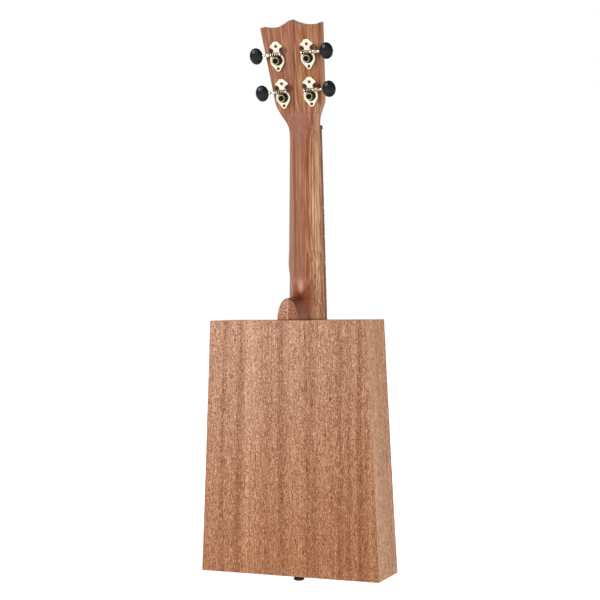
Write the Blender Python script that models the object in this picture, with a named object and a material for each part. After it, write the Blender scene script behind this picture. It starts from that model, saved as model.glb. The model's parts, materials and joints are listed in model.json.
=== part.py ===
"""Cigar box ukulele, concert scale, with open worm-and-wheel tuners.

Origin on the centreline at the nut's fretboard side. +Z runs up the neck, -Y is the strings' side,
and +Y is the back. -X is the fourth string's side.
"""

import math

import bmesh
import bpy
from mathutils import Matrix, Vector

MM = 0.001

# Clearance between pieces that touch or are glued
SEAT = 0.3 * MM
# Clearance round a turning shaft
RUNNING = 0.25 * MM

# Scale and frets
SCALE_LENGTH = 374.6 * MM
BODY_FRET = 14
FRET_COUNT = 18
FRET_WIDTH = 1.8 * MM
FRET_HEIGHT = 1.0 * MM

# Box body
BODY_LENGTH = 270 * MM
BODY_DEPTH = 60 * MM
BODY_WIDTH_NECK_END = 177.8 * MM
BODY_WIDTH_TAIL_END = 203 * MM
BOARD = 2.2 * MM
WALL = 2.6 * MM
SOUND_HOLE_RADIUS = 27 * MM
SOUND_HOLE_BELOW_TOP = 76.3 * MM
SOUND_HOLE_SIDES = 40
LINING_WIDTH = 6 * MM
LINING_HEIGHT = 7 * MM
LINING_CHAMFER = 3 * MM
BRACE_WIDTH = 6 * MM
BRACE_HEIGHT = 9 * MM
BRACE_END_HEIGHT = 3 * MM
BRACE_SCALLOP = 26 * MM
BRACE_FROM_HOLE = 11 * MM
BACK_BRACES_BELOW_TOP = {"upper": 89.3 * MM, "lower": 191.3 * MM}
NECK_BLOCK_WIDTH = 64 * MM
NECK_BLOCK_LENGTH = 28 * MM
TAIL_BLOCK_WIDTH = 54 * MM
TAIL_BLOCK_LENGTH = 15 * MM
DOWEL_RADIUS = 5 * MM
DOWEL_DEPTH_FROM_TOP = 27 * MM
DOWEL_IN_BLOCK = 22 * MM
DOWEL_IN_HEEL = 19 * MM

# Neck
NUT_WIDTH = 35.1 * MM
NECK_WIDTH_AT_BODY = 43.2 * MM
NECK_INSET = 0.2 * MM
NECK_DEPTH = 15.5 * MM
HEEL_CAP_LENGTH = 23.7 * MM
HEEL_SWEEP = 23 * MM
HEEL_FADE = 30 * MM
HEEL_DEPTH = 54 * MM
HEEL_CAP_WIDTH = 25.8 * MM
HEEL_CAP_CROWN = 0.7 * MM
HEEL_CHAMFER = 1.3 * MM
HEEL_RIDGE_WIDTH = 3.6 * MM
HEEL_HOLLOW = 2.6
HEEL_SQUARENESS = 9
FRETBOARD_THICKNESS = 4 * MM
FRETBOARD_PAST_LAST_FRET = 5 * MM
NUT_LENGTH = 5.0 * MM
NUT_HEIGHT = 7.3 * MM
NUT_END_ROUND = 1.8 * MM
NUT_TOP_CHAMFER = 1.0 * MM

# Headstock, measured along its tilted front face from the fold, which lies a little past the nut
HEAD_LAND = 2.5 * MM
HEAD_TILT = math.radians(15.9)
HEAD_THICKNESS = 14.3 * MM
HEAD_WIDTH_AT_TIPS = 67.8 * MM
HEAD_TIPS = 105 * MM
HEAD_TAPER = 0.0905
HEAD_CURVE_START = -1.5 * MM
HEAD_CURVE_END = 25 * MM
CREASE = 14.3 * MM
SQUARE_FROM = -12 * MM
SQUARE_TO = 24 * MM
CROWN_LOW = 105.2 * MM
CROWN_LOW_SIDE = 22.5 * MM
CROWN_RADIUS = 39.7 * MM

# Tuners: rows on the head, and sizes of one tuner
TUNER_ROWS = {"upper": (71.3 * MM, 17.85 * MM), "lower": (31.0 * MM, 16.2 * MM)}
TUNERS = {"g": (-1, "lower"), "c": (-1, "upper"), "e": (1, "upper"), "a": (1, "lower")}
POST_RADIUS = 3.0 * MM
POST_WAIST = 2.6 * MM
POST_STUB = 1.7 * MM
POST_ABOVE_FACE = 11.5 * MM
BUSHING_FLANGE = 6.2 * MM
BUSHING_FLANGE_THICKNESS = 1.3 * MM
BUSHING_SLEEVE = 4.7 * MM
BUSHING_DEPTH = 8 * MM
PLATE_THICKNESS = 1.0 * MM
PLATE_RING = 8.2 * MM
PLATE_TAIL = 3.1 * MM
PLATE_NARROW = 3.3 * MM
PLATE_WING = 7.75 * MM
PLATE_TOP = 20.0 * MM
PLATE_SCREW_UP = 15.0 * MM
PLATE_SCREW_DOWN = 8.8 * MM
PLATE_SCREW_HOLE = 1.2 * MM
EAR_INSIDE = 4.5 * MM
EAR_THICKNESS = 1.0 * MM
EAR_HALF_WIDTH = 2.2 * MM
WHEEL_TEETH = 14
WHEEL_PITCH_RADIUS = 4.7 * MM
WHEEL_THICKNESS = 3.2 * MM
WHEEL_ABOVE_PLATE = 1.0 * MM
HUB_RADIUS = 3.9 * MM
HUB_HEIGHT = 1.2 * MM
WORM_PITCH_RADIUS = 1.65 * MM
WORM_HALF_LENGTH = 4.0 * MM
WORM_ROOT = 1.05 * MM
TOOTH_HEIGHT = 0.45 * MM
TOOTH_TIP = 0.40 * MM
TOOTH_FOOT = 1.05 * MM
BEAD_RADIUS = 2.25 * MM
BEAD_LENGTH = 5.8 * MM
COLLAR_RADIUS = 1.6 * MM
BUTTON_START = 15.4 * MM
BUTTON_LENGTH = 15 * MM
BUTTON_WIDTH = 18.2 * MM
BUTTON_THICKNESS = 8 * MM
SHAFT_END = 1.15 * MM
SHAFT_IN_BUTTON = 9 * MM
SCREW_HEAD_RADIUS = 3.1 * MM
SCREW_HEAD_HEIGHT = 1.0 * MM
SCREW_SHANK = 0.8 * MM

# Strings: spacing and radii, from the fourth to the first
STRING_SPREAD_AT_NUT = 28 * MM
STRING_SPREAD_AT_SADDLE = 42 * MM
STRING_RADIUS = {"g": 0.31 * MM, "c": 0.43 * MM, "e": 0.40 * MM, "a": 0.33 * MM}
STRING_OVER_FRETS_AT_NUT = 1.0 * MM
STRING_OVER_FRETS_AT_SADDLE = 4.6 * MM
WINDING_TURNS = 3
WINDING_ABOVE_FACE = 5.2 * MM

# Bridge, measured from the saddle line
BRIDGE_HALF_WIDTH = 45 * MM
BRIDGE_FRONT = 8 * MM
BRIDGE_BACK = 20 * MM
BRIDGE_HEIGHT = 6.6 * MM
TIE_BLOCK_FRONT = 9 * MM
TIE_BLOCK_HEIGHT = 7.8 * MM
TIE_HOLE_HEIGHT = 4.6 * MM
TIE_HOLE_CLEARANCE = 0.5 * MM
SADDLE_THICKNESS = 2.8 * MM
SADDLE_SLOT_FLOOR = 3.2 * MM
SADDLE_HALF_WIDTH = 36 * MM
BRIDGE_PLATE_HALF_WIDTH = 56 * MM
BRIDGE_PLATE_THICKNESS = 2.0 * MM
BRIDGE_PLATE_OVERHANG = 6 * MM

# End pin
PIN_HEAD_RADIUS = 6.0 * MM
PIN_WAIST_RADIUS = 3.4 * MM
PIN_PEG_RADIUS = 3.6 * MM
PIN_PEG_LENGTH = 13 * MM
PIN_STANDS_OUT = 9.5 * MM
PIN_END_FACE_RADIUS = 4.2 * MM

# Places that follow from the sizes above
BODY_TOP = -SCALE_LENGTH * (1 - 2 ** (-BODY_FRET / 12))
BODY_TAIL = BODY_TOP - BODY_LENGTH
SADDLE_Z = -SCALE_LENGTH
FOLD = NUT_LENGTH + HEAD_LAND
SOUND_HOLE_Z = BODY_TOP - SOUND_HOLE_BELOW_TOP
HEEL_APEX = BODY_TOP + HEEL_CAP_LENGTH
HEEL_START = HEEL_APEX + HEEL_SWEEP
FRETBOARD_TOP = -(SEAT + FRETBOARD_THICKNESS)
FRET_PLANE = FRETBOARD_TOP - FRET_HEIGHT
BOARD_INSIDE = BOARD + SEAT
BACK_INSIDE = BODY_DEPTH - BOARD - SEAT
AXIAL_PITCH = 2 * math.pi * WHEEL_PITCH_RADIUS / WHEEL_TEETH
WORM_OFFSET = WHEEL_PITCH_RADIUS + WORM_PITCH_RADIUS
PLATE_LOW = SEAT
PLATE_HIGH = PLATE_LOW + PLATE_THICKNESS
WHEEL_LOW = PLATE_HIGH + WHEEL_ABOVE_PLATE
WHEEL_HIGH = WHEEL_LOW + WHEEL_THICKNESS
WORM_HEIGHT = (WHEEL_LOW + WHEEL_HIGH) / 2
EAR_OUTSIDE = EAR_INSIDE + EAR_THICKNESS
BEAD_START = EAR_OUTSIDE + 2 * SEAT

WORM_SEGMENTS = 10
ROUND = 14


def smoothstep(value, low, high):
    t = min(max((value - low) / (high - low), 0.0), 1.0)
    return t * t * (3 - 2 * t)


def mix(low, high, share):
    return low + (high - low) * share


def make_material(name, colour, roughness, metallic=0.0):
    material = bpy.data.materials.new(name)
    material.use_nodes = True
    surface = material.node_tree.nodes["Principled BSDF"]
    surface.inputs["Base Color"].default_value = (*colour, 1.0)
    surface.inputs["Roughness"].default_value = roughness
    surface.inputs["Metallic"].default_value = metallic
    material.diffuse_color = (*colour, 1.0)
    return material


def add_mesh(name, build, material, smooth_below=None):
    """A new object from a bmesh, with its faces turned outwards."""
    bmesh.ops.recalc_face_normals(build, faces=build.faces)
    mesh = bpy.data.meshes.new(name)
    build.to_mesh(mesh)
    build.free()
    if material:
        mesh.materials.append(material)
    if smooth_below:
        mesh.shade_smooth()
        mesh.set_sharp_from_angle(angle=math.radians(smooth_below))
    item = bpy.data.objects.new(name, mesh)
    bpy.context.scene.collection.objects.link(item)
    return item


def lofted(rings, closed=False):
    """A bmesh skinned over rings of points, with flat ends, or joined end to end."""
    build = bmesh.new()
    rows = [[build.verts.new(point) for point in ring] for ring in rings]
    pairs = list(zip(rows, rows[1:]))
    if closed:
        pairs.append((rows[-1], rows[0]))
    else:
        build.faces.new(rows[0])
        build.faces.new(rows[-1])
    for low, high in pairs:
        for i in range(len(low)):
            j = (i + 1) % len(low)
            build.faces.new((low[i], low[j], high[j], high[i]))
    return build


def circle(radius, segments=ROUND, turn=0.0):
    step = 2 * math.pi / segments
    return [(radius * math.cos(i * step + turn), radius * math.sin(i * step + turn)) for i in range(segments)]


def turned(profile, segments=ROUND, closed=False):
    """A bmesh turned about Y from (radius, height) points."""
    rings = [[(x, height, z) for x, z in circle(radius, segments)] for radius, height in profile]
    return lofted(rings, closed)


def slab(outline, low, high):
    """A plate whose (x, z) outline runs from y = low to y = high."""
    return lofted([[(x, y, z) for x, z in outline] for y in (low, high)])


def extruded_across(profile, half_width):
    """A bar along X whose profile is (y, z) points. half_width may vary with z."""
    width = half_width if callable(half_width) else lambda z: half_width
    return lofted([[(side * width(z), y, z) for y, z in profile] for side in (-1, 1)])


def combine(item, other, operation):
    """Joins or cuts with an exact Boolean and drops the helper."""
    modifier = item.modifiers.new(operation.lower(), "BOOLEAN")
    modifier.operation = operation
    modifier.solver = "EXACT"
    modifier.object = other
    graph = bpy.context.evaluated_depsgraph_get()
    mesh = bpy.data.meshes.new_from_object(item.evaluated_get(graph))
    item.modifiers.remove(modifier)
    old = item.data
    item.data = mesh
    mesh.name = item.name
    bpy.data.meshes.remove(old)
    bpy.data.objects.remove(other)


def cut(item, build):
    combine(item, add_mesh("cutter", build, None), "DIFFERENCE")


def moved(build, matrix):
    bmesh.ops.transform(build, matrix=matrix, verts=build.verts)
    return build


def rod(radius, start, end, segments=ROUND):
    """A round bar between two points."""
    start = Vector(start)
    along = Vector(end) - start
    build = turned([(radius, 0), (radius, along.length)], segments)
    facing = Vector((0, 1, 0)).rotation_difference(along)
    return moved(build, Matrix.Translation(start) @ facing.to_matrix().to_4x4())


def make_materials():
    return {
        "box": make_material("box_wood", (0.43, 0.22, 0.12), 0.55),
        "side": make_material("side_wood", (0.50, 0.30, 0.18), 0.55),
        "inner": make_material("inner_wood", (0.55, 0.40, 0.25), 0.7),
        "neck": make_material("neck_wood", (0.36, 0.15, 0.08), 0.35),
        "fretboard": make_material("fretboard_wood", (0.07, 0.04, 0.03), 0.5),
        "nut": make_material("nut_black", (0.02, 0.02, 0.02), 0.4),
        "bone": make_material("saddle_bone", (0.85, 0.8, 0.68), 0.4),
        "nylon": make_material("string_nylon", (0.75, 0.75, 0.72), 0.3),
        "nickel": make_material("plate_nickel", (0.85, 0.82, 0.76), 0.2, 1.0),
        "brass": make_material("wheel_brass", (0.45, 0.33, 0.12), 0.35, 1.0),
        "dark": make_material("screw_dark", (0.03, 0.03, 0.03), 0.4, 0.6),
        "button": make_material("button_black", (0.02, 0.022, 0.03), 0.35),
        "pin": make_material("pin_black", (0.02, 0.02, 0.02), 0.3),
    }


def box_half_width(z):
    share = (BODY_TOP - z) / BODY_LENGTH
    return mix(BODY_WIDTH_NECK_END, BODY_WIDTH_TAIL_END, share) / 2


def wall_across():
    """A side wall's thickness measured along X."""
    slope = (BODY_WIDTH_TAIL_END - BODY_WIDTH_NECK_END) / 2 / BODY_LENGTH
    return WALL * math.sqrt(1 + slope * slope)


def inside_half_width(z):
    return box_half_width(z) - wall_across() - SEAT


def box_outline(inset=0.0):
    corners = [(-1, BODY_TOP), (1, BODY_TOP), (1, BODY_TAIL), (-1, BODY_TAIL)]
    return [(side * (box_half_width(z) - inset), z) for side, z in corners]


def make_boards(materials):
    soundboard = add_mesh("soundboard", slab(box_outline(), 0, BOARD), materials["box"])
    mouth = [(0, y, SOUND_HOLE_Z) for y in (-BOARD, 2 * BOARD)]
    cut(soundboard, rod(SOUND_HOLE_RADIUS, *mouth, SOUND_HOLE_SIDES))
    add_mesh("back_panel", slab(box_outline(), BODY_DEPTH - BOARD, BODY_DEPTH), materials["box"])


def make_walls(materials):
    for name, side in (("left", 1), ("right", -1)):
        inner = wall_across()
        corners = [(BODY_TOP, 0), (BODY_TAIL, 0), (BODY_TAIL, inner), (BODY_TOP, inner)]
        outline = [(side * (box_half_width(z) - inset), z) for z, inset in corners]
        add_mesh("side_wall_" + name, slab(outline, BOARD_INSIDE, BACK_INSIDE), materials["side"])
    for name, top in (("neck_end_wall", BODY_TOP), ("tail_wall", BODY_TAIL + WALL)):
        corners = [(-1, top), (1, top), (1, top - WALL), (-1, top - WALL)]
        outline = [(side * inside_half_width(z), z) for side, z in corners]
        add_mesh(name, slab(outline, BOARD_INSIDE, BACK_INSIDE), materials["box"])


def rectangle(half_width, top, bottom):
    return [(-half_width, top), (half_width, top), (half_width, bottom), (-half_width, bottom)]


def make_blocks(materials):
    top = BODY_TOP - WALL - SEAT
    neck_block = rectangle(NECK_BLOCK_WIDTH / 2, top, top - NECK_BLOCK_LENGTH)
    add_mesh("neck_block", slab(neck_block, BOARD_INSIDE, BACK_INSIDE), materials["inner"])
    bottom = BODY_TAIL + WALL + SEAT
    tail_block = rectangle(TAIL_BLOCK_WIDTH / 2, bottom + TAIL_BLOCK_LENGTH, bottom)
    add_mesh("tail_block", slab(tail_block, BOARD_INSIDE, BACK_INSIDE), materials["inner"])


def make_linings(materials):
    """Strips in the corners between the side walls and the two boards."""
    ends = (BODY_TOP - WALL - SEAT, BODY_TAIL + WALL + SEAT)
    for board, base, inwards in (("soundboard", BOARD_INSIDE, 1), ("back", BACK_INSIDE, -1)):
        profile = [(0, 0), (LINING_WIDTH, 0), (LINING_WIDTH, LINING_HEIGHT - LINING_CHAMFER),
                   (LINING_WIDTH - LINING_CHAMFER, LINING_HEIGHT), (0, LINING_HEIGHT)]
        for name, side in (("left", 1), ("right", -1)):
            rings = []
            for z in ends:
                wall = inside_half_width(z)
                rings.append([(side * (wall - x), base + inwards * y, z) for x, y in profile])
            add_mesh(f"{board}_lining_{name}", lofted(rings), materials["inner"])


def make_braces(materials):
    """Bars across each board with thinned ends, from lining to lining."""
    from_hole = SOUND_HOLE_RADIUS + BRACE_FROM_HOLE
    round_hole = {"upper": SOUND_HOLE_Z + from_hole, "lower": SOUND_HOLE_Z - from_hole}
    on_back = {name: BODY_TOP - below for name, below in BACK_BRACES_BELOW_TOP.items()}
    for board, base, inwards, places in (("soundboard", BOARD_INSIDE, 1, round_hole),
                                         ("back", BACK_INSIDE, -1, on_back)):
        for name, z in places.items():
            end = inside_half_width(z + BRACE_WIDTH) - LINING_WIDTH - SEAT
            shape = [(-end, 0), (end, 0), (end, BRACE_END_HEIGHT), (end - BRACE_SCALLOP, BRACE_HEIGHT),
                     (BRACE_SCALLOP - end, BRACE_HEIGHT), (-end, BRACE_END_HEIGHT)]
            outline = [(x, base + inwards * y) for x, y in shape]
            rings = [[(x, y, edge) for x, y in outline] for edge in (z - BRACE_WIDTH / 2, z + BRACE_WIDTH / 2)]
            add_mesh(f"{board}_brace_{name}", lofted(rings), materials["inner"])


def make_dowel(materials):
    """The wooden pin that holds the heel to the block, and its holes."""
    axis = (0, DOWEL_DEPTH_FROM_TOP)
    low = BODY_TOP - DOWEL_IN_BLOCK
    high = BODY_TOP + DOWEL_IN_HEEL
    add_mesh("neck_dowel", rod(DOWEL_RADIUS, (*axis, low), (*axis, high)), materials["inner"], 40)
    for name in ("neck_end_wall", "neck_block", "neck"):
        hole = rod(DOWEL_RADIUS + SEAT, (*axis, low - SEAT), (*axis, high + SEAT))
        cut(bpy.data.objects[name], hole)


def make_end_pin(materials):
    """A turned strap button with its peg through the tail wall into the tail block."""
    waist = -PIN_STANDS_OUT * 0.45
    shoulder = -PIN_STANDS_OUT * 0.68
    profile = [(PIN_PEG_RADIUS * 0.8, PIN_PEG_LENGTH), (PIN_PEG_RADIUS, 0), (PIN_PEG_RADIUS, -SEAT),
               (PIN_HEAD_RADIUS * 0.95, -SEAT), (PIN_HEAD_RADIUS, -2 * SEAT), (PIN_HEAD_RADIUS, -1.6 * MM),
               (PIN_WAIST_RADIUS * 1.25, waist + 1.4 * MM), (PIN_WAIST_RADIUS, waist),
               (PIN_WAIST_RADIUS * 1.2, shoulder + 0.9 * MM), (PIN_HEAD_RADIUS * 0.94, shoulder),
               (PIN_HEAD_RADIUS, shoulder - 0.8 * MM), (PIN_HEAD_RADIUS * 0.93, -PIN_STANDS_OUT + 0.6 * MM),
               (PIN_END_FACE_RADIUS, -PIN_STANDS_OUT)]
    pin = add_mesh("end_pin", turned(profile, 16), materials["pin"], 40)
    pin.location = (0, BODY_DEPTH / 2, BODY_TAIL)
    pin.rotation_euler = (math.pi / 2, 0, 0)
    for name in ("tail_wall", "tail_block"):
        start = (0, BODY_DEPTH / 2, BODY_TAIL - WALL)
        end = (0, BODY_DEPTH / 2, BODY_TAIL + PIN_PEG_LENGTH + SEAT)
        cut(bpy.data.objects[name], rod(PIN_PEG_RADIUS + SEAT, start, end))


def neck_half_width(z):
    """Half the fretboard's width, tapering evenly from the nut to the body."""
    return mix(NUT_WIDTH, NECK_WIDTH_AT_BODY, z / BODY_TOP) / 2


def head_half_width(along):
    straight = HEAD_WIDTH_AT_TIPS / 2 - (HEAD_TIPS - along) * HEAD_TAPER
    return mix(NUT_WIDTH / 2 - NECK_INSET, straight, smoothstep(along, HEAD_CURVE_START, HEAD_CURVE_END))


SECTION_ANGLES = [math.radians(a) for a in (0, 11, 22, 34, 45, 56, 67, 76, 85)]
SECTION = [(math.cos(a), math.sin(a) / math.sin(SECTION_ANGLES[-1])) for a in SECTION_ANGLES]
CREST_SHARE = SECTION[-1][0]


def neck_section(place):
    """(half width, depth) pairs of the neck's section where the front face has run `place` from the nut."""
    along = place - FOLD
    width = neck_half_width(place) - NECK_INSET if place < 0 else head_half_width(along)
    lean = HEAD_TILT * smoothstep(place, -11 * MM, FOLD + CREASE)
    at_crease = HEAD_THICKNESS * math.cos(HEAD_TILT) + CREASE * math.sin(HEAD_TILT)
    crest = mix(NECK_DEPTH, at_crease, smoothstep(place, -22 * MM, FOLD + CREASE))
    front = max(along, 0) * math.sin(HEAD_TILT)
    depth = (crest - front) / math.cos(lean) if along < CREASE else HEAD_THICKNESS
    square = smoothstep(place, SQUARE_FROM, SQUARE_TO)
    pairs = []
    for across, down in SECTION:
        edge = max(across, down)
        pairs.append((width * mix(across, across / edge, square), depth * mix(down, down / edge, square)))
    return pairs, lean


def cap_half_width(z, inset=0.0):
    """Half the heel cap's width at a height z, with its oval outline drawn in by an inset."""
    share = (z - BODY_TOP) / (HEEL_CAP_LENGTH - inset)
    wide = (HEEL_CAP_WIDTH / 2 - inset) * math.sqrt(max(1 - share * share, 0))
    return max(wide, HEEL_RIDGE_WIDTH / 2 - inset)


def heel_section(z):
    """(half width, depth) pairs where the neck's back sweeps out into the heel, with hollow sides.

    The heel's cap is a low ridge with a chamfered rim.
    """
    width = neck_half_width(z) - NECK_INSET
    sweep = (HEEL_START - z) / HEEL_SWEEP
    sweep = min(max(sweep, 0), 1)
    rim_foot = HEEL_DEPTH - HEEL_CAP_CROWN - HEEL_CHAMFER
    depth = rim_foot - (rim_foot - NECK_DEPTH) * math.sqrt(1 - sweep * sweep)
    ridge = cap_half_width(z)
    share = smoothstep(-z, -HEEL_START - HEEL_FADE, -HEEL_APEX)
    power = mix(2, HEEL_SQUARENESS, share)
    pairs = []
    for _, down in SECTION:
        hollow = ridge + (width - ridge) * (1 - depth * down / HEEL_DEPTH) ** HEEL_HOLLOW
        close = 1 if sweep == 1 else max((1 - down ** power) ** (1 / power), CREST_SHARE)
        pairs.append((mix(width, hollow, share) * close, depth * down))
    if sweep == 1:
        below = HEEL_APEX - z
        rim = rim_foot + min(below, HEEL_CHAMFER)
        crown = HEEL_CAP_CROWN * min(below / (6 * HEEL_CHAMFER), 1)
        inner = cap_half_width(z, HEEL_CHAMFER)
        pairs[-3:] = [(ridge, rim_foot), (inner, rim), (inner * 0.1, rim + crown)]
    return pairs


def section_ring(pairs, front, lean):
    """Points of one closed section: down one side of the neck and up the other."""
    right = [(x, front[0] + d * math.cos(lean), front[1] - d * math.sin(lean)) for x, d in pairs]
    left = [(-x, y, z) for x, y, z in reversed(right)]
    return right + left


def neck_rings():
    base = BODY_TOP + SEAT
    cap = [base] + [HEEL_APEX - share * HEEL_CAP_LENGTH for share in (0.76, 0.5, 0.3, 0.15)] + [HEEL_APEX - HEEL_CHAMFER]
    turns = [math.radians(angle) for angle in (90, 81, 72, 62, 50, 38, 26, 13)]
    sweep = [HEEL_START - HEEL_SWEEP * math.sin(turn) for turn in turns]
    rings = [section_ring(heel_section(z), (0, z), 0) for z in cap + sweep]
    fade_end = HEEL_START + HEEL_FADE
    places = [HEEL_START + share * HEEL_FADE for share in (0, 0.23, 0.5, 0.77, 1)]
    places += [mix(fade_end, SQUARE_FROM, share) for share in (0.37, 0.74, 1)]
    places += [number * MM for number in (-5, 0, 4)]
    places += [FOLD + along * MM for along in (0.5, 4.5, 8.5, 11.5, 14.3, 15.3, 18.5, 22, 26.5, 37.5, 117.5)]
    for place in places:
        if place <= fade_end:
            rings.append(section_ring(heel_section(place), (0, place), 0))
            continue
        pairs, lean = neck_section(place)
        along = max(place - FOLD, 0)
        front = (along * math.sin(HEAD_TILT), min(place, FOLD) + along * math.cos(HEAD_TILT))
        rings.append(section_ring(pairs, front, lean))
    return rings


def head_place(along=0.0, height=0.0, across=0.0):
    """The tilted head's frame: X across, Y out of its back, Z towards its tips."""
    tilt = Matrix.Rotation(-HEAD_TILT, 4, "X")
    return Matrix.Translation((0, 0, FOLD)) @ tilt @ Matrix.Translation((across, height, along))


def crown_outline():
    """The waste above the head's two scooped arcs."""
    reach = HEAD_WIDTH_AT_TIPS / 2 + 4 * MM
    centre = CROWN_LOW + CROWN_RADIUS
    steps = 10
    right = []
    for i in range(steps + 1):
        x = mix(0.25 * MM, reach, i / steps)
        right.append((x, centre - math.sqrt(CROWN_RADIUS ** 2 - (x - CROWN_LOW_SIDE) ** 2)))
    left = [(-x, z) for x, z in reversed(right)]
    top = 130 * MM
    return left + right + [(reach, top), (-reach, top)]


def make_neck(materials):
    neck = add_mesh("neck", lofted(neck_rings()), materials["neck"])
    crown = slab(crown_outline(), -4 * MM, HEAD_THICKNESS + 4 * MM)
    cut(neck, moved(crown, head_place()))
    for side, row in TUNERS.values():
        along, across = TUNER_ROWS[row]
        bore = turned([(BUSHING_SLEEVE + SEAT, height) for height in (-4 * MM, HEAD_THICKNESS + 4 * MM)], 20)
        cut(neck, moved(bore, head_place(along, 0, side * across)))
    return neck


def fret_place(number):
    return -SCALE_LENGTH * (1 - 2 ** (-number / 12))


def make_fretboard(materials):
    """The board with its frets as one bar, extruded across its even taper."""
    end = fret_place(FRET_COUNT) - FRETBOARD_PAST_LAST_FRET
    profile = [(-SEAT, end), (-SEAT, -SEAT), (FRETBOARD_TOP, -SEAT)]
    for number in range(1, FRET_COUNT + 1):
        z = fret_place(number)
        for y, shift in ((0, 0.5), (0.8, 0.3), (1, 0), (0.8, -0.3), (0, -0.5)):
            profile.append((FRETBOARD_TOP - y * FRET_HEIGHT, z + shift * FRET_WIDTH))
    profile.append((FRETBOARD_TOP, end))
    add_mesh("fretboard", extruded_across(profile, neck_half_width), materials["fretboard"])


def string_x(name, spread):
    order = list(TUNERS).index(name)
    return mix(-spread, spread, order / (len(TUNERS) - 1)) / 2


def string_over_board(z):
    """The strings' height line over the fretboard, as a Y."""
    rise = mix(STRING_OVER_FRETS_AT_NUT, STRING_OVER_FRETS_AT_SADDLE, z / SADDLE_Z)
    return FRET_PLANE - rise


def nut_outline(inset):
    """The nut from its end, as (x, y), with its two ends drawn in by an inset."""
    half = NUT_WIDTH / 2 - inset
    end = [(half, -SEAT), (half, -NUT_HEIGHT + NUT_TOP_CHAMFER), (half - NUT_TOP_CHAMFER, -NUT_HEIGHT)]
    outline = [(-x, y) for x, y in end]
    for name in TUNERS:
        x = string_x(name, STRING_SPREAD_AT_NUT)
        half_slot = STRING_RADIUS[name] + SEAT
        floor = string_over_board(0) + half_slot
        outline += [(x - half_slot - 0.2 * MM, -NUT_HEIGHT), (x - half_slot, floor - 0.2 * MM), (x, floor),
                    (x + half_slot, floor - 0.2 * MM), (x + half_slot + 0.2 * MM, -NUT_HEIGHT)]
    return outline + end[::-1]


def make_nut(materials):
    """The black nut, with one slot for each string and ends rounded off on the head's side."""
    rings = [[(x, y, 0) for x, y in nut_outline(0)]]
    for angle in (0, 30, 60, 80):
        turn = math.radians(angle)
        z = NUT_LENGTH - SEAT - NUT_END_ROUND * (1 - math.sin(turn))
        rings.append([(x, y, z) for x, y in nut_outline(NUT_END_ROUND * (1 - math.cos(turn)))])
    add_mesh("nut", lofted(rings), materials["nut"])


def make_bridge(materials):
    """A tie bridge: saddle slot in front, channel, and the block that the strings are tied through."""
    slot = SADDLE_THICKNESS / 2 + SEAT
    shape = [(-SEAT, BRIDGE_FRONT), (-3.4 * MM, BRIDGE_FRONT), (-BRIDGE_HEIGHT, BRIDGE_FRONT - 3 * MM),
             (-BRIDGE_HEIGHT, slot), (-SADDLE_SLOT_FLOOR, slot), (-SADDLE_SLOT_FLOOR, -slot),
             (-BRIDGE_HEIGHT, -slot), (-BRIDGE_HEIGHT, -slot - 2 * MM), (-3 * MM, -slot - 4.6 * MM),
             (-3 * MM, -TIE_BLOCK_FRONT), (-TIE_BLOCK_HEIGHT, -TIE_BLOCK_FRONT),
             (-TIE_BLOCK_HEIGHT, -BRIDGE_BACK + 2 * MM), (-TIE_BLOCK_HEIGHT + 2 * MM, -BRIDGE_BACK),
             (-SEAT, -BRIDGE_BACK)]
    profile = [(y, SADDLE_Z + z) for y, z in shape]
    bridge = add_mesh("bridge", extruded_across(profile, BRIDGE_HALF_WIDTH), materials["fretboard"])
    for name in TUNERS:
        x = string_x(name, STRING_SPREAD_AT_SADDLE)
        radius = STRING_RADIUS[name] + TIE_HOLE_CLEARANCE
        ends = [(x, -TIE_HOLE_HEIGHT, SADDLE_Z - z) for z in (TIE_BLOCK_FRONT - 1 * MM, BRIDGE_BACK + 1 * MM)]
        cut(bridge, rod(radius, *ends, 10))


def make_saddle(materials):
    top = string_over_board(SADDLE_Z) + max(STRING_RADIUS.values()) + SEAT
    half = SADDLE_THICKNESS / 2
    shape = [(-SADDLE_SLOT_FLOOR - SEAT, half), (top + 0.8 * MM, half), (top, half * 0.3), (top, -half * 0.3),
             (top + 0.8 * MM, -half), (-SADDLE_SLOT_FLOOR - SEAT, -half)]
    profile = [(y, SADDLE_Z + z) for y, z in shape]
    add_mesh("saddle", extruded_across(profile, SADDLE_HALF_WIDTH), materials["bone"])


def make_bridge_plate(materials):
    outline = rectangle(BRIDGE_PLATE_HALF_WIDTH, SADDLE_Z + BRIDGE_FRONT + BRIDGE_PLATE_OVERHANG,
                        SADDLE_Z - BRIDGE_BACK - BRIDGE_PLATE_OVERHANG)
    plate = slab(outline, BOARD_INSIDE, BOARD_INSIDE + BRIDGE_PLATE_THICKNESS)
    add_mesh("bridge_plate", plate, materials["inner"])


def winding_outer(name):
    return POST_WAIST + SEAT + 2 * STRING_RADIUS[name]


def tangent_on_post(name):
    """Where the string meets its winding, as (across, along) on the head, on the post's inner side."""
    side, row = TUNERS[name]
    along, across = TUNER_ROWS[row]
    reach = winding_outer(name) + STRING_RADIUS[name] + SEAT
    post = Vector((side * across, along))
    nut = Vector((string_x(name, STRING_SPREAD_AT_NUT), -HEAD_LAND))
    towards = nut - post
    swing = math.acos(reach / towards.length)
    heading = math.atan2(towards.y, towards.x) + side * -swing
    return post + reach * Vector((math.cos(heading), math.sin(heading)))


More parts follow.
